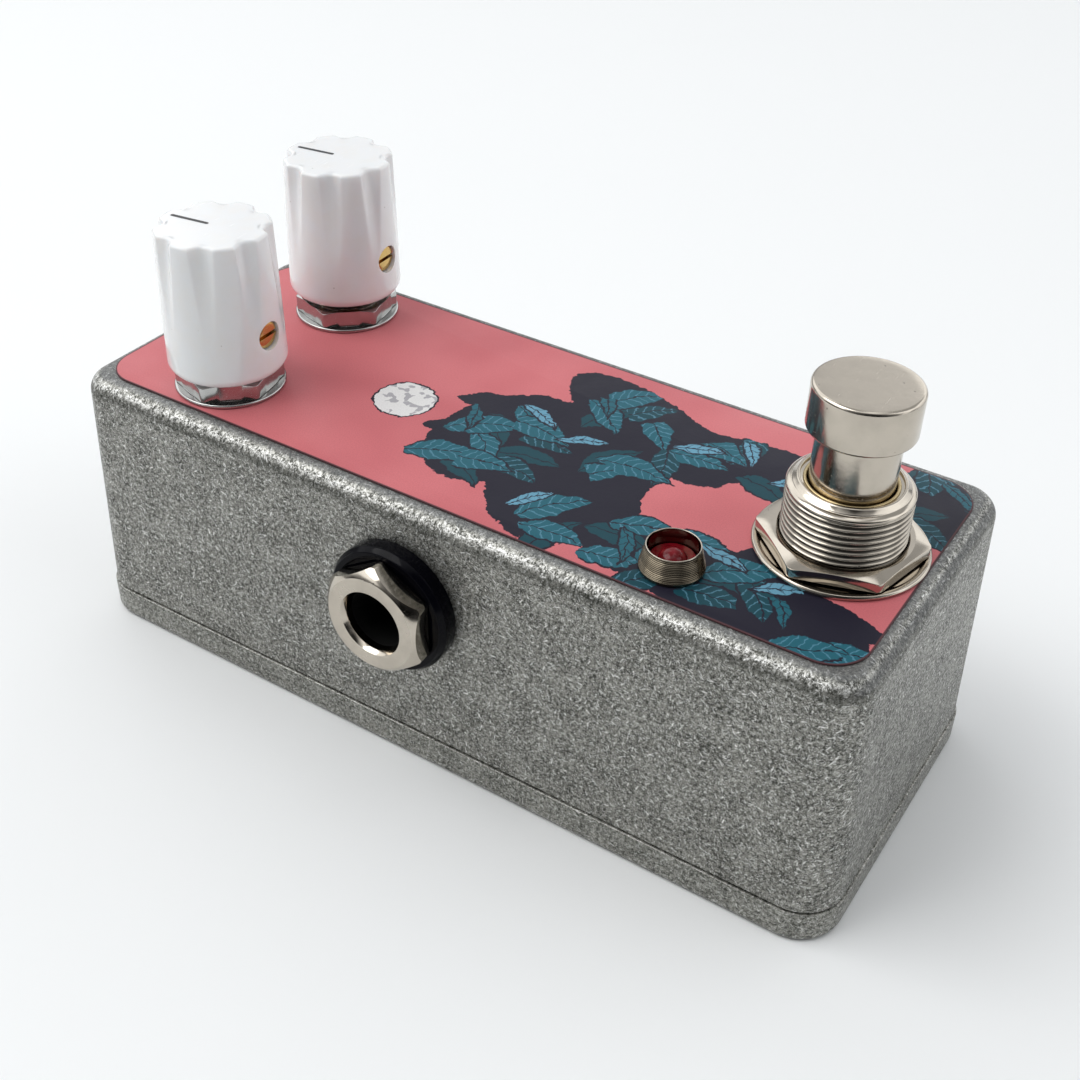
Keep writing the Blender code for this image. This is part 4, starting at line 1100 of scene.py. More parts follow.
@geometry_tree(
    "Knob flutes",
    {"Flutes": 8.0, "Depth": 0.75 * MM, "Start": 3.4 * MM, "Top": KNOB_TALL, "Round": 1.05 * MM,
     "Edge Round": 0.1 * MM, "First Angle": 0.0, "Core Radius": 0.005})
def flute_tree(graph, given, radius, turn, z):
    """Round-bottomed flutes that start at a height and deepen towards the top."""
    climb = graph.minus(given["Top"], given["Start"])
    run = graph.math("DIVIDE", graph.minus(z, given["Start"]), climb, clamp=True)
    deepest = graph.times(run, given["Depth"])
    period = graph.math("DIVIDE", FULL_TURN, given["Flutes"])
    share = graph.math("DIVIDE", graph.minus(turn, given["First Angle"]), period)
    near = graph.minus(graph.math("FRACT", graph.plus(share, 64.5)), 0.5)
    aside = graph.times(graph.times(near, period), radius)
    bowl = graph.math("DIVIDE", graph.times(aside, aside), graph.times(given["Round"], 2.0))
    depth = graph.minus(deepest, bowl)
    depth = graph.math("SMOOTH_MAX", depth, 0.0, given["Edge Round"])
    depth = graph.times(depth, run)
    outer = graph.math("GREATER_THAN", radius, given["Core Radius"])
    recess = graph.math("DIVIDE", graph.times(depth, outer), given["Depth"])
    return graph.times(graph.times(depth, outer), -1.0), recess


def shape_with(obj, tree, finish, **values):
    """Runs a geometry tree on the object with those inputs, and keeps the plain mesh that it gives."""
    modifier = obj.modifiers.new(tree.name, "NODES")
    modifier.node_group = tree
    wanted = {name.replace("_", " ").title(): value for name, value in values.items()}
    wanted["Material"] = finish
    for item in tree.interface.items_tree:
        if item.item_type == "SOCKET" and item.in_out == "INPUT" and item.name in wanted:
            modifier[item.identifier] = wanted[item.name]
    bake_modifiers(obj)
    soften(obj, 70)
    return obj


def stacked(low, high, count):
    """Evenly spaced heights between two heights, both ends left out."""
    return [low + (high - low) * (k + 1) / (count + 1) for k in range(count)]


# ---------------------------------------------------------------- enclosure

def box_inset(z):
    return SEAM_STEP + (z - LID_HEIGHT) * math.tan(DRAFT)


def inset_level(inset, z, corner=BOX_CORNER):
    """The lid's outline drawn in by the inset, at a height."""
    return (BOX_HALF_WIDTH - inset, BOX_HALF_LENGTH - inset, corner - inset, z)


def box_level(z, extra=0.0):
    return inset_level(box_inset(z) + extra, z)


def quarter_turn(steps, first=0):
    """Sine and cosine of evenly spaced angles up to a right angle."""
    for step in range(first, steps + 1):
        angle = RIGHT_ANGLE * step / steps
        yield math.sin(angle), math.cos(angle)


def wall_turn(side):
    """Turns local Z to the outward normal of the drafted side wall."""
    return Matrix.Rotation(side * (RIGHT_ANGLE - DRAFT), 4, "Y")


def jack_place(end):
    """The output or input jack's own frame: its origin on the outer wall, Z out through it."""
    side = {"output": -1, "input": 1}[end]
    low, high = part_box(f"{end}_jack_collar")
    across = (low[1] + high[1]) / 2
    x = side * (BOX_HALF_WIDTH - box_inset(JACK_HEIGHT))
    return Matrix.Translation((x, across, JACK_HEIGHT)) @ wall_turn(side)


def power_place():
    y = BOX_HALF_LENGTH - box_inset(POWER_HEIGHT)
    return Matrix.Translation((0, y, POWER_HEIGHT)) @ Matrix.Rotation(DRAFT - RIGHT_ANGLE, 4, "X")


def corner_places():
    return [Matrix.Translation((sx * SCREW_X, sy * SCREW_Y, 0)) for sx, sy in QUARTERS]


def build_enclosure_box():
    shoulder = TOP - TOP_FILLET
    levels = [box_level(BOX_BOTTOM, 0.22 * MM), box_level(BOX_BOTTOM + 0.08 * MM, 0.08 * MM),
              box_level(BOX_BOTTOM + 0.2 * MM)]
    levels.extend(box_level(z) for z in stacked(BOX_BOTTOM + MM, shoulder, 3))
    levels.append(box_level(shoulder))
    for sine, cosine in quarter_turn(14, 1):
        inset = box_inset(shoulder) + TOP_FILLET * (1 - cosine)
        levels.append(inset_level(inset, shoulder + TOP_FILLET * sine))
    shell = new_piece("box_shell", rounded_prism(levels, 16))

    cavity = []
    for z, extra in ((BOX_BOTTOM - MM, 0.0), (CEILING - MM, 0.0),
                     (CEILING - 0.3 * MM, 0.3 * MM), (CEILING, MM)):
        inset = box_inset(z) + WALL + extra
        cavity.append((BOX_HALF_WIDTH - inset, BOX_HALF_LENGTH - inset, 2.4 * MM, z))
    hollow = new_piece("hollow", rounded_prism(cavity, 8))
    bosses = [rod_tool(3.3 * MM, BOX_BOTTOM - 2 * MM, TOP, place, 40) for place in corner_places()]
    cut(hollow, *bosses)

    tools = [hollow]
    tools.extend(rod_tool(1.38 * MM, BOX_BOTTOM - MM, 16 * MM, place, 24) for place in corner_places())
    for node, radius in (("pot_washer_left", 3.65 * MM), ("pot_washer_right", 3.65 * MM),
                         ("footswitch_washer", 6.05 * MM), ("led_bezel", 2.45 * MM)):
        tools.append(rod_tool(radius, CEILING - MM, TOP + MM, axis_of(node)))
    reach = 4 * MM
    tools.extend(rod_tool(4.8 * MM, -reach, reach, jack_place(end)) for end in ("output", "input"))
    tools.append(rod_tool(6.05 * MM, -reach, reach, power_place()))
    cut(shell, *tools)
    settle(shell, cast_metal(), "case", "cast_aluminium", "enclosure_box")


def build_lid():
    round_over = 0.7 * MM
    levels = []
    for sine, cosine in quarter_turn(6):
        levels.append(inset_level(round_over * (1 - sine), round_over * (1 - cosine)))
    rim = 0.14 * MM
    for sine, cosine in quarter_turn(3):
        levels.append(inset_level(rim * (1 - cosine), LID_HEIGHT - rim + rim * sine))
    lid = new_piece("lid_plate", rounded_prism(levels, 16))
    above = LID_HEIGHT + MM
    pocket = [(15.3 * MM, 37 * MM, 2 * MM, 1.9 * MM), (15.5 * MM, 37.2 * MM, 2 * MM, above)]
    tools = [new_piece("pocket", rounded_prism(pocket, 6))]
    sink = [(0, -MM), (4.15 * MM, -MM), (1.7 * MM, 1.6 * MM), (1.7 * MM, above), (0, above)]
    tools.extend(new_piece("sink", turned_mesh(sink, 48), place) for place in corner_places())
    cut(lid, *tools)
    lip_low = LID_HEIGHT - 0.4 * MM
    lip_high = LID_HEIGHT + 1.3 * MM
    lips = []
    for sign in (-1, 1):
        near, far = sorted((sign * 15.75 * MM, sign * 16.8 * MM))
        lips.append(block_tool((near, -36.5 * MM, lip_low), (far, 36.5 * MM, lip_high)))
        near, far = sorted((sign * 42.6 * MM, sign * 43.8 * MM))
        lips.append(block_tool((-10.5 * MM, near, lip_low), (10.5 * MM, far, lip_high)))
    cut(lid, *lips, operation="UNION")
    settle(lid, lid_metal(), "case", "cast_aluminium", "enclosure_lid")


def build_lid_screws():
    face = 0.15 * MM
    head = 2.85 * MM
    radius = 1.3 * MM
    neck = 1.75 * MM
    thread_end = 12 * MM
    tip = 12.6 * MM
    for k, place in enumerate(corner_places(), start=1):
        outline = [(0, face), (1.8 * MM, face), (2.62 * MM, face + 0.04 * MM), (head, face + 0.14 * MM),
                   (head, 0.34 * MM), (radius, neck)]
        outline.extend((radius, z) for z in stacked(neck, thread_end, 110))
        outline.extend([(radius, thread_end), (0.8 * MM, tip), (0, tip)])
        screw = new_piece(f"lid_screw_{k}_turned", turned_mesh(outline, 40))
        shape_with(screw, ridge_tree(), zinc_steel(), pitch=0.7 * MM, depth=0.22 * MM, low=2.3 * MM,
                   high=12.1 * MM, fade=0.5 * MM, core_radius=1.2 * MM)
        arms = []
        for turn_deg in (45, 135):
            turn = Matrix.Rotation(math.radians(turn_deg), 4, "Z")
            arms.append(block_tool((-1.6 * MM, -0.3 * MM, -MM), (1.6 * MM, 0.3 * MM, 1.1 * MM), turn))
        cup = [(0, -MM), (0.95 * MM, -MM), (0.95 * MM, face), (0.45 * MM, 1.3 * MM), (0, 1.3 * MM)]
        arms.append(new_piece("cup", turned_mesh(cup, 20)))
        cut(screw, *arms, sharp_deg=60)
        move_mesh(screw, place)
        settle(screw, zinc_steel(), "case", "zinc_steel", f"lid_screw_{k}")


def build_label_sheet():
    edge = 0.05 * MM
    half_x = 16.1 * MM
    half_y = 43.4 * MM
    corner = 3.95 * MM
    levels = [(half_x, half_y, corner, LABEL_LOW), (half_x, half_y, corner, LABEL_TOP - edge),
              (half_x - 0.4 * edge, half_y - 0.4 * edge, corner, LABEL_TOP - 0.2 * edge),
              (half_x - edge, half_y - edge, corner - edge, LABEL_TOP)]
    sheet = new_piece("label_sheet", rounded_prism(levels, 16))
    tools = []
    for node, radius in (("pot_washer_left", 3.7 * MM), ("pot_washer_right", 3.7 * MM),
                         ("footswitch_washer", 6.1 * MM), ("led_bezel", 2.5 * MM)):
        tools.append(rod_tool(radius, LABEL_LOW - MM, LABEL_TOP + MM, axis_of(node)))
    cut(sheet, *tools)
    settle(sheet, label_print(), "case", "label_print", "graphic_label")


# ---------------------------------------------------------------- knobs and potentiometers

def knob_outline():
    """The knob's outline from its inside bore, round its foot and up to its top."""
    skirt = 6.25 * MM
    top_radius = 5.9 * MM
    tall = KNOB_TALL - 0.02 * MM
    foot = 1.0 * MM
    edge = 0.35 * MM
    bore = 3.95 * MM
    ceiling = 12.6 * MM
    hollow = 4.9 * MM
    step_up = 2.2 * MM
    outline = [(0, ceiling), (bore, ceiling), (bore, step_up), (hollow, step_up),
               (hollow, 0.12 * MM), (5.02 * MM, 0), (5.45 * MM, 0), (5.62 * MM, 0.03 * MM)]
    for height in stacked(0.0, foot, 7):
        drop = 1 - height / foot
        outline.append((skirt - 0.6 * MM * drop ** 2.2, height))
    count = 46
    for k in range(count + 1):
        share = k / count
        outline.append((skirt + (top_radius - skirt) * share, foot + (tall - edge - foot) * share))
    for sine, cosine in quarter_turn(6, 1):
        outline.append((top_radius - edge * (1 - cosine), tall - edge + edge * sine))
    outline.extend((radius, tall) for radius in (5.25 * MM, 4.7 * MM, 3.2 * MM, 1.6 * MM, 0))
    return outline


def screw_lie():
    """The set screw's own frame in the knob: its Z points out of the knob's side."""
    turn = Matrix.Rotation(math.radians(SET_SCREW_DEG), 4, "Z") @ Matrix.Rotation(RIGHT_ANGLE, 4, "Y")
    return Matrix.Translation((0, 0, SET_SCREW_HEIGHT)) @ turn


def build_knob(side):
    sizes = size_settings()
    body = f"{side}_knob"
    base = axis_of(f"pot_washer_{side}") @ Matrix.Translation((0, 0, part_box(f"knob_{side}")[0][2]))
    knob = new_piece(f"knob_{side}_moulding", turned_mesh(knob_outline(), 256))
    period = FULL_TURN / sizes.flutes
    first = math.radians(KNOB_POINTER_DEG) + period / 2
    shape_with(knob, flute_tree(), knob_plastic(), flutes=float(sizes.flutes), depth=sizes.flute_depth,
               start=sizes.flute_start, top=KNOB_TALL, round=sizes.flute_round, edge_round=0.16 * MM,
               first_angle=first, core_radius=5.0 * MM)
    cut(knob, rod_tool(1.53 * MM, 0.5 * MM, 8 * MM, screw_lie()))
    move_mesh(knob, base)
    settle(knob, knob_plastic(), body, "knob_plastic", f"knob_{side}")

    line = [(2.25 * MM, 0.2 * MM, 0.19 * MM, KNOB_TALL - sunk) for sunk in (0.1 * MM, 0.004 * MM)]
    pointer = new_piece(f"knob_{side}_pointer_line", rounded_prism(line, 6))
    turn = Matrix.Rotation(math.radians(KNOB_POINTER_DEG), 4, "Z") @ Matrix.Translation((2.75 * MM, 0, 0))
    move_mesh(pointer, base @ turn)
    settle(pointer, moulded("Black pointer paint", (0.012, 0.012, 0.014), 0.35), body, "black_plastic")

    wall = in_mm([(3.0, 2.4, 0.15), (3.85, 2.4, 0.15), (3.85, 12.3, 0.15), (3.0, 12.3, 0.15)])
    insert = new_piece(f"knob_{side}_brass_insert", turned_mesh(filleted(wall, 3), 64))
    cut(insert, rod_tool(1.53 * MM, 0.5 * MM, 8 * MM, screw_lie()))
    move_mesh(insert, base)
    settle(insert, brass(), body, "brass", f"knob_insert_{side}")

    radius = 1.45 * MM
    tip = 3.05 * MM
    low = 3.4 * MM
    high = 5.6 * MM
    face = 5.75 * MM
    outline = [(0, tip), (radius - 0.4 * MM, tip), (radius, low)]
    outline.extend((radius, z) for z in stacked(low, high, 54))
    outline.extend([(radius, high), (radius - 0.05 * MM, 5.69 * MM), (radius - 0.16 * MM, face),
                    (radius * 0.5, face), (0, face)])
    screw = new_piece(f"knob_{side}_set_screw", turned_mesh(outline, 48))
    shape_with(screw, ridge_tree(), brass(), pitch=0.35 * MM, depth=0.1 * MM, low=3.3 * MM,
               high=5.62 * MM, fade=0.2 * MM, core_radius=1.35 * MM)
    cut(screw, block_tool((-0.2 * MM, -2 * MM, 5.0 * MM), (0.2 * MM, 2 * MM, 7 * MM)), sharp_deg=60)
    move_mesh(screw, base @ screw_lie())
    settle(screw, brass(), body, "brass", f"knob_set_screw_{side}")


def build_pot_hardware(side):
    axis = axis_of(f"pot_washer_{side}")
    low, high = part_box(f"pot_washer_{side}")
    hole = 3.6 * MM
    outer = 5.85 * MM
    washer = [(hole, low[2], 0.05 * MM), (outer, low[2], 0.12 * MM),
              (outer, high[2], 0.16 * MM), (hole, high[2], 0.05 * MM)]
    piece = new_piece(f"pot_washer_{side}_ring", turned_mesh(filleted(washer, 5), 128), axis)
    settle(piece, grey_nickel(), "case", "nickel", f"pot_washer_{side}")

    low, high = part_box(f"pot_nut_{side}")
    nut = nut_mesh(10 * MM, low[2], high[2], 3.55 * MM, 12, 5.15 * MM, 22)
    piece = new_piece(f"pot_nut_{side}_hex", nut, axis)
    settle(piece, grey_nickel(), "case", "nickel", f"pot_nut_{side}")

    low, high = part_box(f"pot_bushing_{side}")
    bore = 3.0 * MM
    radius = 3.45 * MM
    shoulder = high[2] - 0.3 * MM
    outline = [(bore, low[2]), (radius, low[2])]
    outline.extend((radius, z) for z in stacked(low[2], shoulder, 84))
    outline.extend([(radius, shoulder), (radius - 0.25 * MM, high[2]), (bore, high[2])])
    piece = new_piece(f"pot_bushing_{side}_thread", turned_mesh(outline, 64))
    shape_with(piece, ridge_tree(), nickel(), pitch=0.75 * MM, depth=0.18 * MM, low=low[2] + 0.3 * MM,
               high=high[2] - 0.25 * MM, fade=0.3 * MM, core_radius=3.3 * MM)
    move_mesh(piece, axis)
    settle(piece, nickel(), "case", "nickel", f"pot_bushing_{side}")

    low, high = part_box(f"pot_shaft_{side}")
    radius = 2.9 * MM
    shaft = [(0, low[2], 0), (3.5 * MM, low[2], 0.1 * MM), (3.5 * MM, low[2] + MM, 0.1 * MM),
             (radius, low[2] + MM, 0.05 * MM), (radius, high[2] - 0.4 * MM, 0.08 * MM),
             (radius - 0.4 * MM, high[2], 0.08 * MM), (0, high[2], 0)]
    piece = new_piece(f"pot_shaft_{side}_turned", turned_mesh(filleted(shaft, 3), 64), axis)
    settle(piece, zinc_steel(), f"{side}_knob", "zinc_steel", f"pot_shaft_{side}")


# ---------------------------------------------------------------- lamp

def build_lamp():
    sizes = size_settings()
    axis = axis_of("led_bezel")
    low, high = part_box("led_bezel")
    seat = LABEL_TOP + 0.05 * MM
    rim = high[2]
    bore = 1.65 * MM
    stem = 2.3 * MM
    skirt = 3.07 * MM
    foot = seat + 0.35 * MM
    outline = [(bore, low[2]), (stem, low[2]), (stem, seat), (2.98 * MM, seat), (skirt, seat + 0.08 * MM),
               (skirt, foot - 0.06 * MM)]
    cone_high = rim - 0.12 * MM
    count = 110
    for k in range(count + 1):
        share = k / count
        outline.append((skirt - 0.5 * MM * share, foot + (cone_high - foot) * share))
    lip_and_cup = in_mm([(2.55, 0.05), (2.535, 0.015), (2.51, 0), (2.46, 0), (2.43, 0.02), (2.41, 0.1),
                         (2.34, 0.6), (2.28, 1.2), (2.24, 1.9), (1.65, 1.9)])
    outline.extend((radius, rim - depth) for radius, depth in lip_and_cup)
    bezel = new_piece("lamp_bezel_turned", turned_mesh(outline, 128))
    # Painted dark reflection: the bezel's cone and cup take the darker copy of the nickel, and its top edge
    # keeps the plain nickel
    shape_with(bezel, ridge_tree(), nickel_painted_dark(), pitch=sizes.groove_pitch, depth=sizes.groove_depth,
               starts=0.0, low=foot, high=cone_high, fade=0.05 * MM, core_radius=2.45 * MM, crest_width=0.8)
    move_mesh(bezel, axis)
    settle(bezel, nickel_painted_dark(), "case", "nickel", "led_bezel")
    paint_where(bezel, nickel(), lambda centre: centre.z > rim - 0.04 * MM)

    dome_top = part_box("led_lamp")[1][2]
    radius = 1.5 * MM
    flange = rim - 1.86 * MM
    base = 27.0 * MM
    outline = [(0, base), (radius - 0.1 * MM, base), (radius, 27.1 * MM), (radius, flange),
               (2.12 * MM, flange), (2.17 * MM, flange + 0.05 * MM), (2.17 * MM, flange + 0.36 * MM),
               (2.10 * MM, flange + 0.43 * MM), (1.52 * MM, flange + 0.45 * MM)]
    for sine, cosine in quarter_turn(14, 4):
        outline.append((radius * cosine, dome_top - radius * (1 - sine)))
    outline[-1] = (0, dome_top)
    lamp = new_piece("lamp_dome", turned_mesh(outline, 64), axis)
    settle(lamp, lamp_lens(), "case", "red_lens", "led_lamp")


# ---------------------------------------------------------------- footswitch

def build_footswitch_button():
    axis = axis_of("footswitch_bush")
    low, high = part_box("footswitch_button")
    cap = 4.95 * MM
    stem = 3.9 * MM
    cap_low = 44.0 * MM
    outline = [(0, low[2], 0), (stem, low[2], 0.1 * MM), (stem, cap_low, 0.04 * MM), (cap, cap_low, 0.3 * MM),
               (cap, high[2], 0.42 * MM), (cap - 1.1 * MM, high[2], 0), (0, high[2], 0)]
    outline = filleted(outline, 9)
    button = new_piece("footswitch_cap_and_stem", turned_mesh(outline, 160), axis)
    settle(button, switch_nickel(), "switch_button", "nickel", "footswitch_button")


def build_footswitch_hardware():
    sizes = size_settings()
    axis = axis_of("footswitch_bush")
    low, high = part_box("footswitch_bush")
    top = high[2]
    bore = 4.2 * MM
    radius = 5.85 * MM
    shoulder = top - 0.95 * MM
    outline = [(bore, low[2]), (radius - 0.3 * MM, low[2]), (radius, low[2] + 0.3 * MM)]
    outline.extend((radius, z) for z in stacked(low[2] + 0.3 * MM, shoulder, 200))
    outline.extend([(radius, shoulder), (radius - 0.02 * MM, shoulder + 0.10 * MM),
                    (radius - 0.10 * MM, shoulder + 0.20 * MM)])
    step_and_rim = in_mm([(0.46, 0.50), (0.50, 0.50), (0.54, 0.43), (0.60, 0.38), (0.88, 0.10), (0.94, 0.03),
                          (1.00, 0), (1.14, 0), (1.20, 0.04), (1.24, 0.30)])
    outline.extend((radius - inward, top - depth) for inward, depth in step_and_rim)
    brass_lip = in_mm([(0.16, 0.34), (0.13, 0.24), (0.08, 0.18), (-0.08, 0.20), (-0.19, 0.28), (-0.22, 0.6),
                       (0, 0.9)])
    outline.extend((bore + outward, top - depth) for outward, depth in brass_lip)
    bush = new_piece("footswitch_bush_thread", turned_mesh(outline, 144))
    shape_with(bush, ridge_tree(), nickel(), pitch=sizes.thread_pitch, depth=sizes.thread_depth,
               low=low[2] + 0.4 * MM, high=shoulder - 0.02 * MM, fade=0.2 * MM, core_radius=5.6 * MM,
               crest_width=0.8)
    move_mesh(bush, axis)
    settle(bush, nickel(), "case", "nickel", "footswitch_bush")
    paint_where(bush, worn_lip(), lambda centre: centre.z > top - 0.8 * MM
                and (centre - axis.translation).xy.length < bore + 0.155 * MM)

    low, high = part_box("footswitch_nut")
    nut = nut_mesh(14 * MM, low[2], high[2], 5.95 * MM, -12.3, 6.5 * MM, 15)
    piece = new_piece("footswitch_nut_hex", nut, axis)
    settle(piece, nickel(), "case", "nickel", "footswitch_nut")

    low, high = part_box("footswitch_washer")
    hole = 6.0 * MM
    outer = 8.27 * MM
    mid = high[2] - 0.2 * MM
    dish = mid + 0.06 * MM
    outline = [(hole, low[2], 0.04 * MM), (outer - 0.1 * MM, low[2], 0.1 * MM), (outer, mid, 0.15 * MM),
               (outer - 0.16 * MM, high[2], 0.12 * MM), (outer - 0.5 * MM, high[2] - 0.02 * MM, 0.2 * MM),
               (outer - 0.8 * MM, high[2] - 0.14 * MM, 0.3 * MM), (6.6 * MM, dish, 0.2 * MM),
               (hole, dish, 0.03 * MM)]
    piece = new_piece("footswitch_washer_dished", turned_mesh(filleted(outline, 4), 160), axis)
    settle(piece, nickel(), "case", "nickel", "footswitch_washer")


def build_footswitch_spring():
    """The spring as the CAD node's mesh, its doubled points merged. The real spring shortens between the
    housing and the actuator as the button goes down; this one keeps its shape.
    """
    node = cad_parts["footswitch_spring"]
    bm = bmesh.new()
    bm.from_mesh(node.data)
    bmesh.ops.remove_doubles(bm, verts=bm.verts, dist=0.001 * MM)
    spring = new_piece("footswitch_return_spring", bm)
    settle(spring, zinc_steel(), "case", "zinc_steel", "footswitch_spring")
    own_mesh(spring)


# ---------------------------------------------------------------- sockets

def build_jack(end):
    """The collar and the nose of the output or the input jack."""
    name = f"{end}_jack"
    place = jack_place(end)
    collar = in_mm([(4.8, 0.05, 0.03), (7.0, 0.05, 0.1), (7.0, 1.6, 0.16), (6.6, 2.2, 0.16),
                    (6.0, 2.2, 0.06), (5.9, 2.05, 0.04), (4.8, 2.05, 0.03)])
    piece = new_piece(f"{name}_collar_ring", turned_mesh(filleted(collar, 4), 144), place)
    settle(piece, gloss_black(), "case", "black_gloss", f"{name}_collar")

    nut_low = 2.25 * MM
    face = 4.6 * MM
    across = 10.75 * MM
    land = 5.05 * MM
    mouth = 3.55 * MM
    bore = 3.22 * MM
    bore_low = face - 1.3 * MM
    inner_end = -6 * MM
    stem = 4.6 * MM
    blunt = 0.08 * MM
    corner_fall = 1.2 * MM
    corner = across / math.sqrt(3)

    def outline(angle):
        side = hexagon_radius(angle, across, 2.0, 0.978)
        dome = []
        steps = 7
        for k in range(steps + 1):
            share = 1 - k / steps
            radius = land + (side - land) * share
            reach = (radius - land) / (corner - land)
            dome.append((radius, face - corner_fall * (0.55 * reach + 0.45 * reach * reach)))
        inner = [(land - 0.06 * MM, face), (mouth + 0.12 * MM, face), (mouth + 0.03 * MM, face - 0.03 * MM),
                 (mouth - 0.02 * MM, face - 0.1 * MM), (bore + 0.04 * MM, face - 0.46 * MM),
                 (bore, face - 0.6 * MM), (bore, bore_low), (bore, inner_end), (4.55 * MM, inner_end),
                 (stem, -5.95 * MM), (stem, nut_low), (side - blunt, nut_low), (side, nut_low + blunt)]
        return dome + inner

    nose = swept_mesh(outline, 216)
    piece = new_piece(f"{name}_hex_nose", nose, place)
    settle(piece, nickel(), "case", "nickel", f"{name}_nose")
    back = place.inverted()

    def in_bore(centre):
        local = back @ centre
        return local.z < bore_low and local.xy.length < bore + 0.05 * MM

    paint_where(piece, satin_nickel(), lambda centre: (back @ centre).z > face - 0.006 * MM)
    # The deep bore is painted near black: partly the socket's black moulding behind the metal nose, partly
    # painted shade down the hole
    paint_where(piece, moulded("Socket bore, black moulding and painted shade", (0.006, 0.006, 0.006), 0.5, gloss=0.2), in_bore)


def build_power_socket():
    place = power_place()
    body = in_mm([(1.15, -11, 0.05), (5.9, -11, 0.2), (5.9, 0.05, 0.03), (6.9, 0.05, 0.1), (6.9, 1.4, 0.2),
                  (6.5, 1.8, 0.16), (5.3, 1.8, 0.05), (5.2, 1.66, 0.03), (3.4, 1.66, 0.03), (3.3, 1.8, 0.05),
                  (2.9, 1.8, 0.2), (2.9, -9.5, 0.05), (1.15, -9.5, 0.05)])
    socket = new_piece("power_socket_moulding", turned_mesh(filleted(body, 4), 112))
    cut(socket, block_tool((2 * MM, -1.4 * MM, -9.5 * MM), (4.7 * MM, 1.4 * MM, -1.5 * MM)))
    move_mesh(socket, place)
    settle(socket, gloss_black(), "case", "black_gloss", "dc_jack_body")
    pin = in_mm([(0, -13.5, 0), (1.0, -13.5, 0.1), (1.0, -1.5, 0.35), (0.55, -1.0, 0.25), (0, -1.0, 0)])
    piece = new_piece("power_socket_pin", turned_mesh(filleted(pin, 5), 48), place)
    settle(piece, nickel(), "case", "nickel", "dc_centre_pin")


def finish_inside_parts():
    """Gives every node that keeps its own mesh the finish of its slot."""
    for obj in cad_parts.values():
        for holder in obj.material_slots:
            holder.material = slot_finish(holder.material.name.split(".")[0])


# ---------------------------------------------------------------- stage

def build_world():
    settings = stage_settings()
    bpy.context.scene.view_settings.view_transform = "Standard"
    world = bpy.data.worlds.new("Plain room")
    world.use_nodes = True
    bpy.context.scene.world = world
    graph = Graph(world.node_tree)
    background = world.node_tree.nodes["Background"]
    direction = graph.add("ShaderNodeTexCoord").outputs["Generated"]
    towards = graph.vector("DOT_PRODUCT", direction, (-0.45, 0.62, 0.64))
    glow = graph.ramp(towards, -0.75, 0.75, settings.room_shade, 1.0, smooth=True)
    height = graph.parts(direction)[2]
    ceiling = graph.ramp(height, 0.0, 0.55, 0.70, 1.0, smooth=True)
    back = graph.vector("DOT_PRODUCT", direction, (-0.76, -0.50, 0.41))
    dim_wall = graph.ramp(back, 0.55, 0.93, 1.0, 0.05, smooth=True)
    clutter = graph.noise(direction, settings.room_detail, 1.0, 0.4)
    walls = graph.ramp(clutter, 0.44, 0.56, settings.room_contrast, 1.0, smooth=True)
    ahead = graph.vector("DOT_PRODUCT", direction, (0.68, 0.42, 0.60))
    walls = graph.larger(walls, graph.ramp(ahead, 0.80, 0.95, 0.0, 0.50, smooth=True))
    low_wall = graph.ramp(height, 0.36, 0.50, 0.22, 1.0, smooth=True)
    near_side = graph.ramp(graph.parts(direction)[0], -0.35, -0.6, 0.0, 1.0, smooth=True)
    dim_wall = graph.times(dim_wall, graph.between(near_side, 1.0, low_wall))
    room = graph.times(graph.times(glow, ceiling), dim_wall)
    room = graph.times(room, walls)
    seen = graph.add("ShaderNodeLightPath").outputs["Is Camera Ray"]
    room = graph.between(seen, room, settings.backdrop_light)
    strength = graph.times(room, settings.world_light)
    background.inputs["Color"].default_value = (0.97, 0.985, 1.0, 1.0)
    graph.feed(background.inputs["Strength"], strength)


def add_area_light(name, place, target, size, power, colour):
    light = bpy.data.lights.new(name, "AREA")
    light.shape = "RECTANGLE"
    light.size = size[0]
    light.size_y = size[1]
    light.energy = power
    light.color = colour
    obj = bpy.data.objects.new(name, light)
    obj.location = place
    obj.rotation_euler = (Vector(target) - Vector(place)).to_track_quat("-Z", "Y").to_euler()
    bpy.context.scene.collection.objects.link(obj)


def floor_finish():
    @kept_finish("Pale floor")
    def build(graph):
        place = graph.place
        colour = stage_settings().floor_colour
        cloud = graph.noise(place, 0.01, 2.0, 0.5)
        darker = full_colour(colour, 0.985)
        graph.surface("Base Color", graph.mixed(cloud, full_colour(colour), darker))
        graph.surface("Roughness", 0.75)
        graph.surface("Specular IOR Level", 0.25)

    return build()


def build_floor():
    bm = bmesh.new()
    rings = 10
    reach = 1.6
    count = 64
    previous = [bm.verts.new((0, 0, 0))]
    for ring in range(1, rings + 1):
        radius = reach * (ring / rings) ** 1.6
        loop = []
        for k in range(count):
            angle = FULL_TURN * k / count
            loop.append(bm.verts.new((radius * math.cos(angle), radius * math.sin(angle), 0)))
        for k in range(count):
            j = (k + 1) % count
            if len(previous) == 1:
                bm.faces.new((previous[0], loop[k], loop[j]))
            else:
                bm.faces.new((previous[k], loop[k], loop[j], previous[j]))
        previous = loop
    bm.transform(Matrix.Translation((0, 0, -0.02 * MM)))
    floor = new_piece("studio_floor", bm)
    if floor.data.polygons[0].normal.z < 0:
        floor.data.flip_normals()
    floor.data.materials.append(floor_finish())


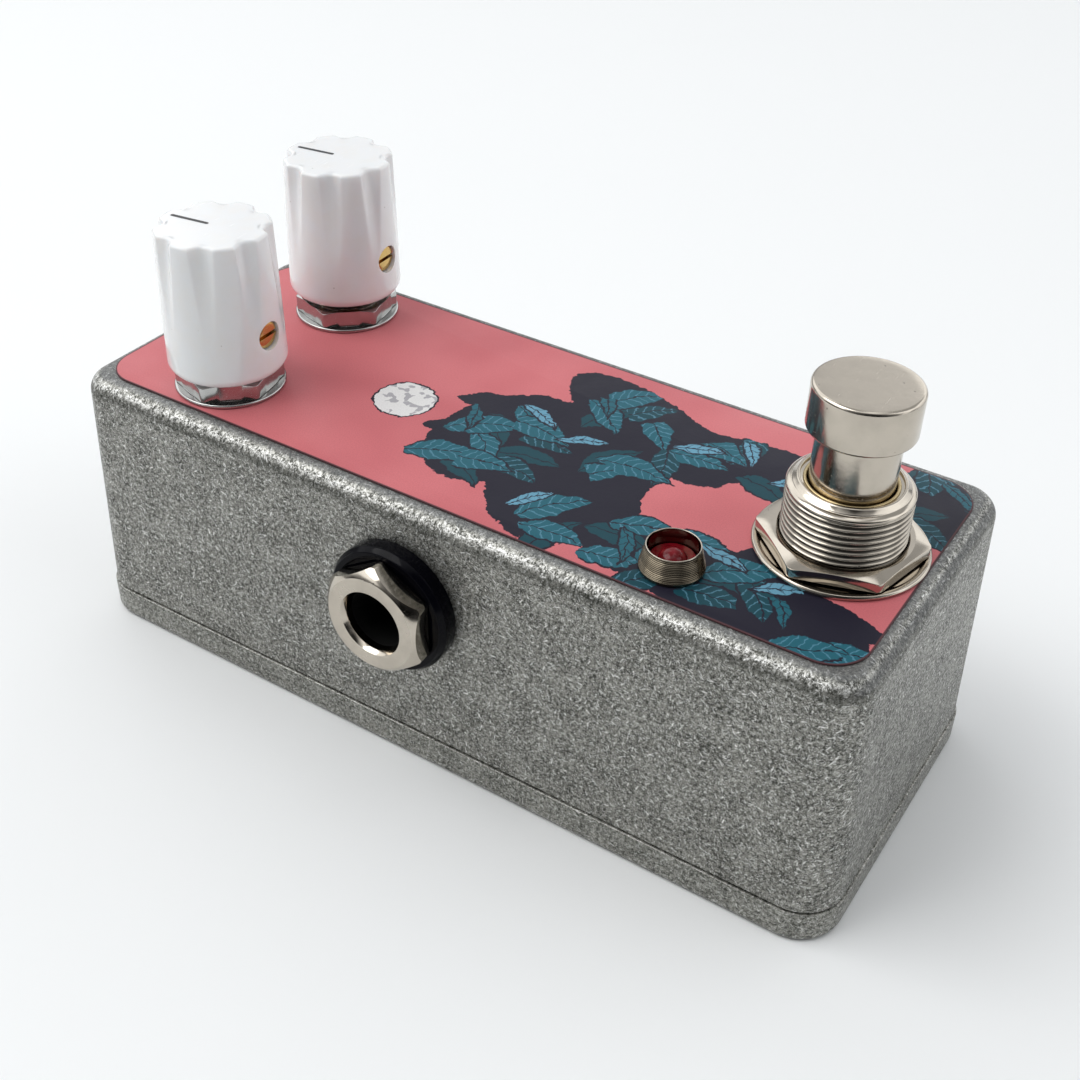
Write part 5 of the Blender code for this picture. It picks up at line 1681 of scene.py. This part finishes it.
def build_camera():
    settings = stage_settings()
    forward = Vector(settings.camera_forward).normalized()
    right = forward.cross(Vector((0, 0, 1))).normalized()
    up = right.cross(forward)
    turn = Matrix((right, up, -forward)).transposed().to_4x4()
    lean = Matrix.Rotation(settings.camera_roll, 4, "Z")
    data = bpy.data.cameras.new("studio_camera")
    data.lens = settings.lens
    data.sensor_width = SENSOR_WIDTH
    data.clip_start = 0.005
    data.clip_end = 20.0
    camera = bpy.data.objects.new("studio_camera", data)
    camera.matrix_world = Matrix.Translation(settings.camera_place) @ turn @ lean
    bpy.context.scene.collection.objects.link(camera)
    bpy.context.scene.camera = camera


def build_lights():
    settings = stage_settings()
    middle = (0.0, 0.0, 0.02)
    add_area_light("knob_end_softbox", (-0.28, 0.36, 0.66), middle, (0.6, 0.45), settings.key_power,
                   (1.0, 0.995, 0.985))
    add_area_light("output_side_softbox", (-0.66, 0.02, 0.34), middle, (0.5, 0.3), settings.side_power,
                   (0.97, 0.985, 1.0))


# ---------------------------------------------------------------- operators

class PedalOperator:
    """Runs its steps in order; a step is a function followed by what it is given."""

    bl_options = {"REGISTER", "UNDO"}
    steps = ()

    def execute(self, context):
        for step, *given in self.steps:
            step(*given)
        return {"FINISHED"}


class PEDAL_OT_stage(PedalOperator, bpy.types.Operator):
    """Makes the room, the floor, the lights and the camera"""

    bl_idname = "pedal.stage"
    bl_label = "Stage"
    steps = ((build_world,), (build_floor,), (build_lights,), (build_camera,))


class PEDAL_OT_inside(PedalOperator, bpy.types.Operator):
    """Gives the parts inside the box their finishes"""

    bl_idname = "pedal.inside"
    bl_label = "Inside parts"
    steps = ((finish_inside_parts,),)


class PEDAL_OT_enclosure(PedalOperator, bpy.types.Operator):
    """Makes the tumbled cast box with its drilled holes"""

    bl_idname = "pedal.enclosure"
    bl_label = "Cast box"
    steps = ((build_enclosure_box,),)


class PEDAL_OT_lid(PedalOperator, bpy.types.Operator):
    """Makes the lid and its four screws"""

    bl_idname = "pedal.lid"
    bl_label = "Lid and screws"
    steps = ((build_lid,), (build_lid_screws,))


class PEDAL_OT_label(PedalOperator, bpy.types.Operator):
    """Makes the printed label"""

    bl_idname = "pedal.label"
    bl_label = "Label"
    steps = ((build_label_sheet,),)


class PEDAL_OT_knobs(PedalOperator, bpy.types.Operator):
    """Makes both fluted knobs with their inserts and set screws"""

    bl_idname = "pedal.knobs"
    bl_label = "Knobs"
    steps = ((build_knob, "left"), (build_knob, "right"))


class PEDAL_OT_pot_hardware(PedalOperator, bpy.types.Operator):
    """Makes the washers, nuts, bushings and shafts under the knobs"""

    bl_idname = "pedal.pot_hardware"
    bl_label = "Potentiometer hardware"
    steps = ((build_pot_hardware, "left"), (build_pot_hardware, "right"))


class PEDAL_OT_lamp(PedalOperator, bpy.types.Operator):
    """Makes the grooved bezel and the red lamp"""

    bl_idname = "pedal.lamp"
    bl_label = "Lamp"
    steps = ((build_lamp,),)


class PEDAL_OT_footswitch(PedalOperator, bpy.types.Operator):
    """Makes the footswitch's button, threaded bush, nut, washer and spring"""

    bl_idname = "pedal.footswitch"
    bl_label = "Footswitch"
    steps = ((build_footswitch_button,), (build_footswitch_hardware,), (build_footswitch_spring,))


class PEDAL_OT_sockets(PedalOperator, bpy.types.Operator):
    """Makes the two jacks' collars and noses and the power socket"""

    bl_idname = "pedal.sockets"
    bl_label = "Sockets"
    steps = ((build_jack, "output"), (build_jack, "input"), (build_power_socket,))


# In the order that main runs them
OPERATORS = (PEDAL_OT_stage, PEDAL_OT_inside, PEDAL_OT_enclosure, PEDAL_OT_lid, PEDAL_OT_label,
             PEDAL_OT_knobs, PEDAL_OT_pot_hardware, PEDAL_OT_lamp, PEDAL_OT_footswitch, PEDAL_OT_sockets)


class PEDAL_PT_pieces(bpy.types.Panel):
    """Lists what the pedal is made of and its settings"""

    bl_idname = "PEDAL_PT_pieces"
    bl_label = "Effects Pedal"
    bl_space_type = "VIEW_3D"
    bl_region_type = "UI"
    bl_category = "Pedal"

    def draw(self, context):
        layout = self.layout
        for operator in OPERATORS:
            layout.operator(operator.bl_idname)
        for settings in (context.scene.pedal_sizes, context.scene.pedal_finishes, context.scene.pedal_stage):
            column = layout.column()
            for name in settings.__annotations__:
                column.prop(settings, name)


SETTINGS = {"pedal_stage": PedalStageSettings, "pedal_sizes": PedalSizeSettings,
            "pedal_finishes": PedalFinishSettings}


def register():
    for kind in (*SETTINGS.values(), *OPERATORS, PEDAL_PT_pieces):
        bpy.utils.register_class(kind)
    for name, kind in SETTINGS.items():
        setattr(bpy.types.Scene, name, bpy.props.PointerProperty(type=kind))


def unregister():
    for name in SETTINGS:
        delattr(bpy.types.Scene, name)
    for kind in reversed((*SETTINGS.values(), *OPERATORS, PEDAL_PT_pieces)):
        bpy.utils.unregister_class(kind)


def main():
    """Makes everything in order."""
    register()
    for operator in OPERATORS:
        getattr(bpy.ops.pedal, operator.bl_idname.split(".")[1])()


if __name__ == "__main__":
    main()
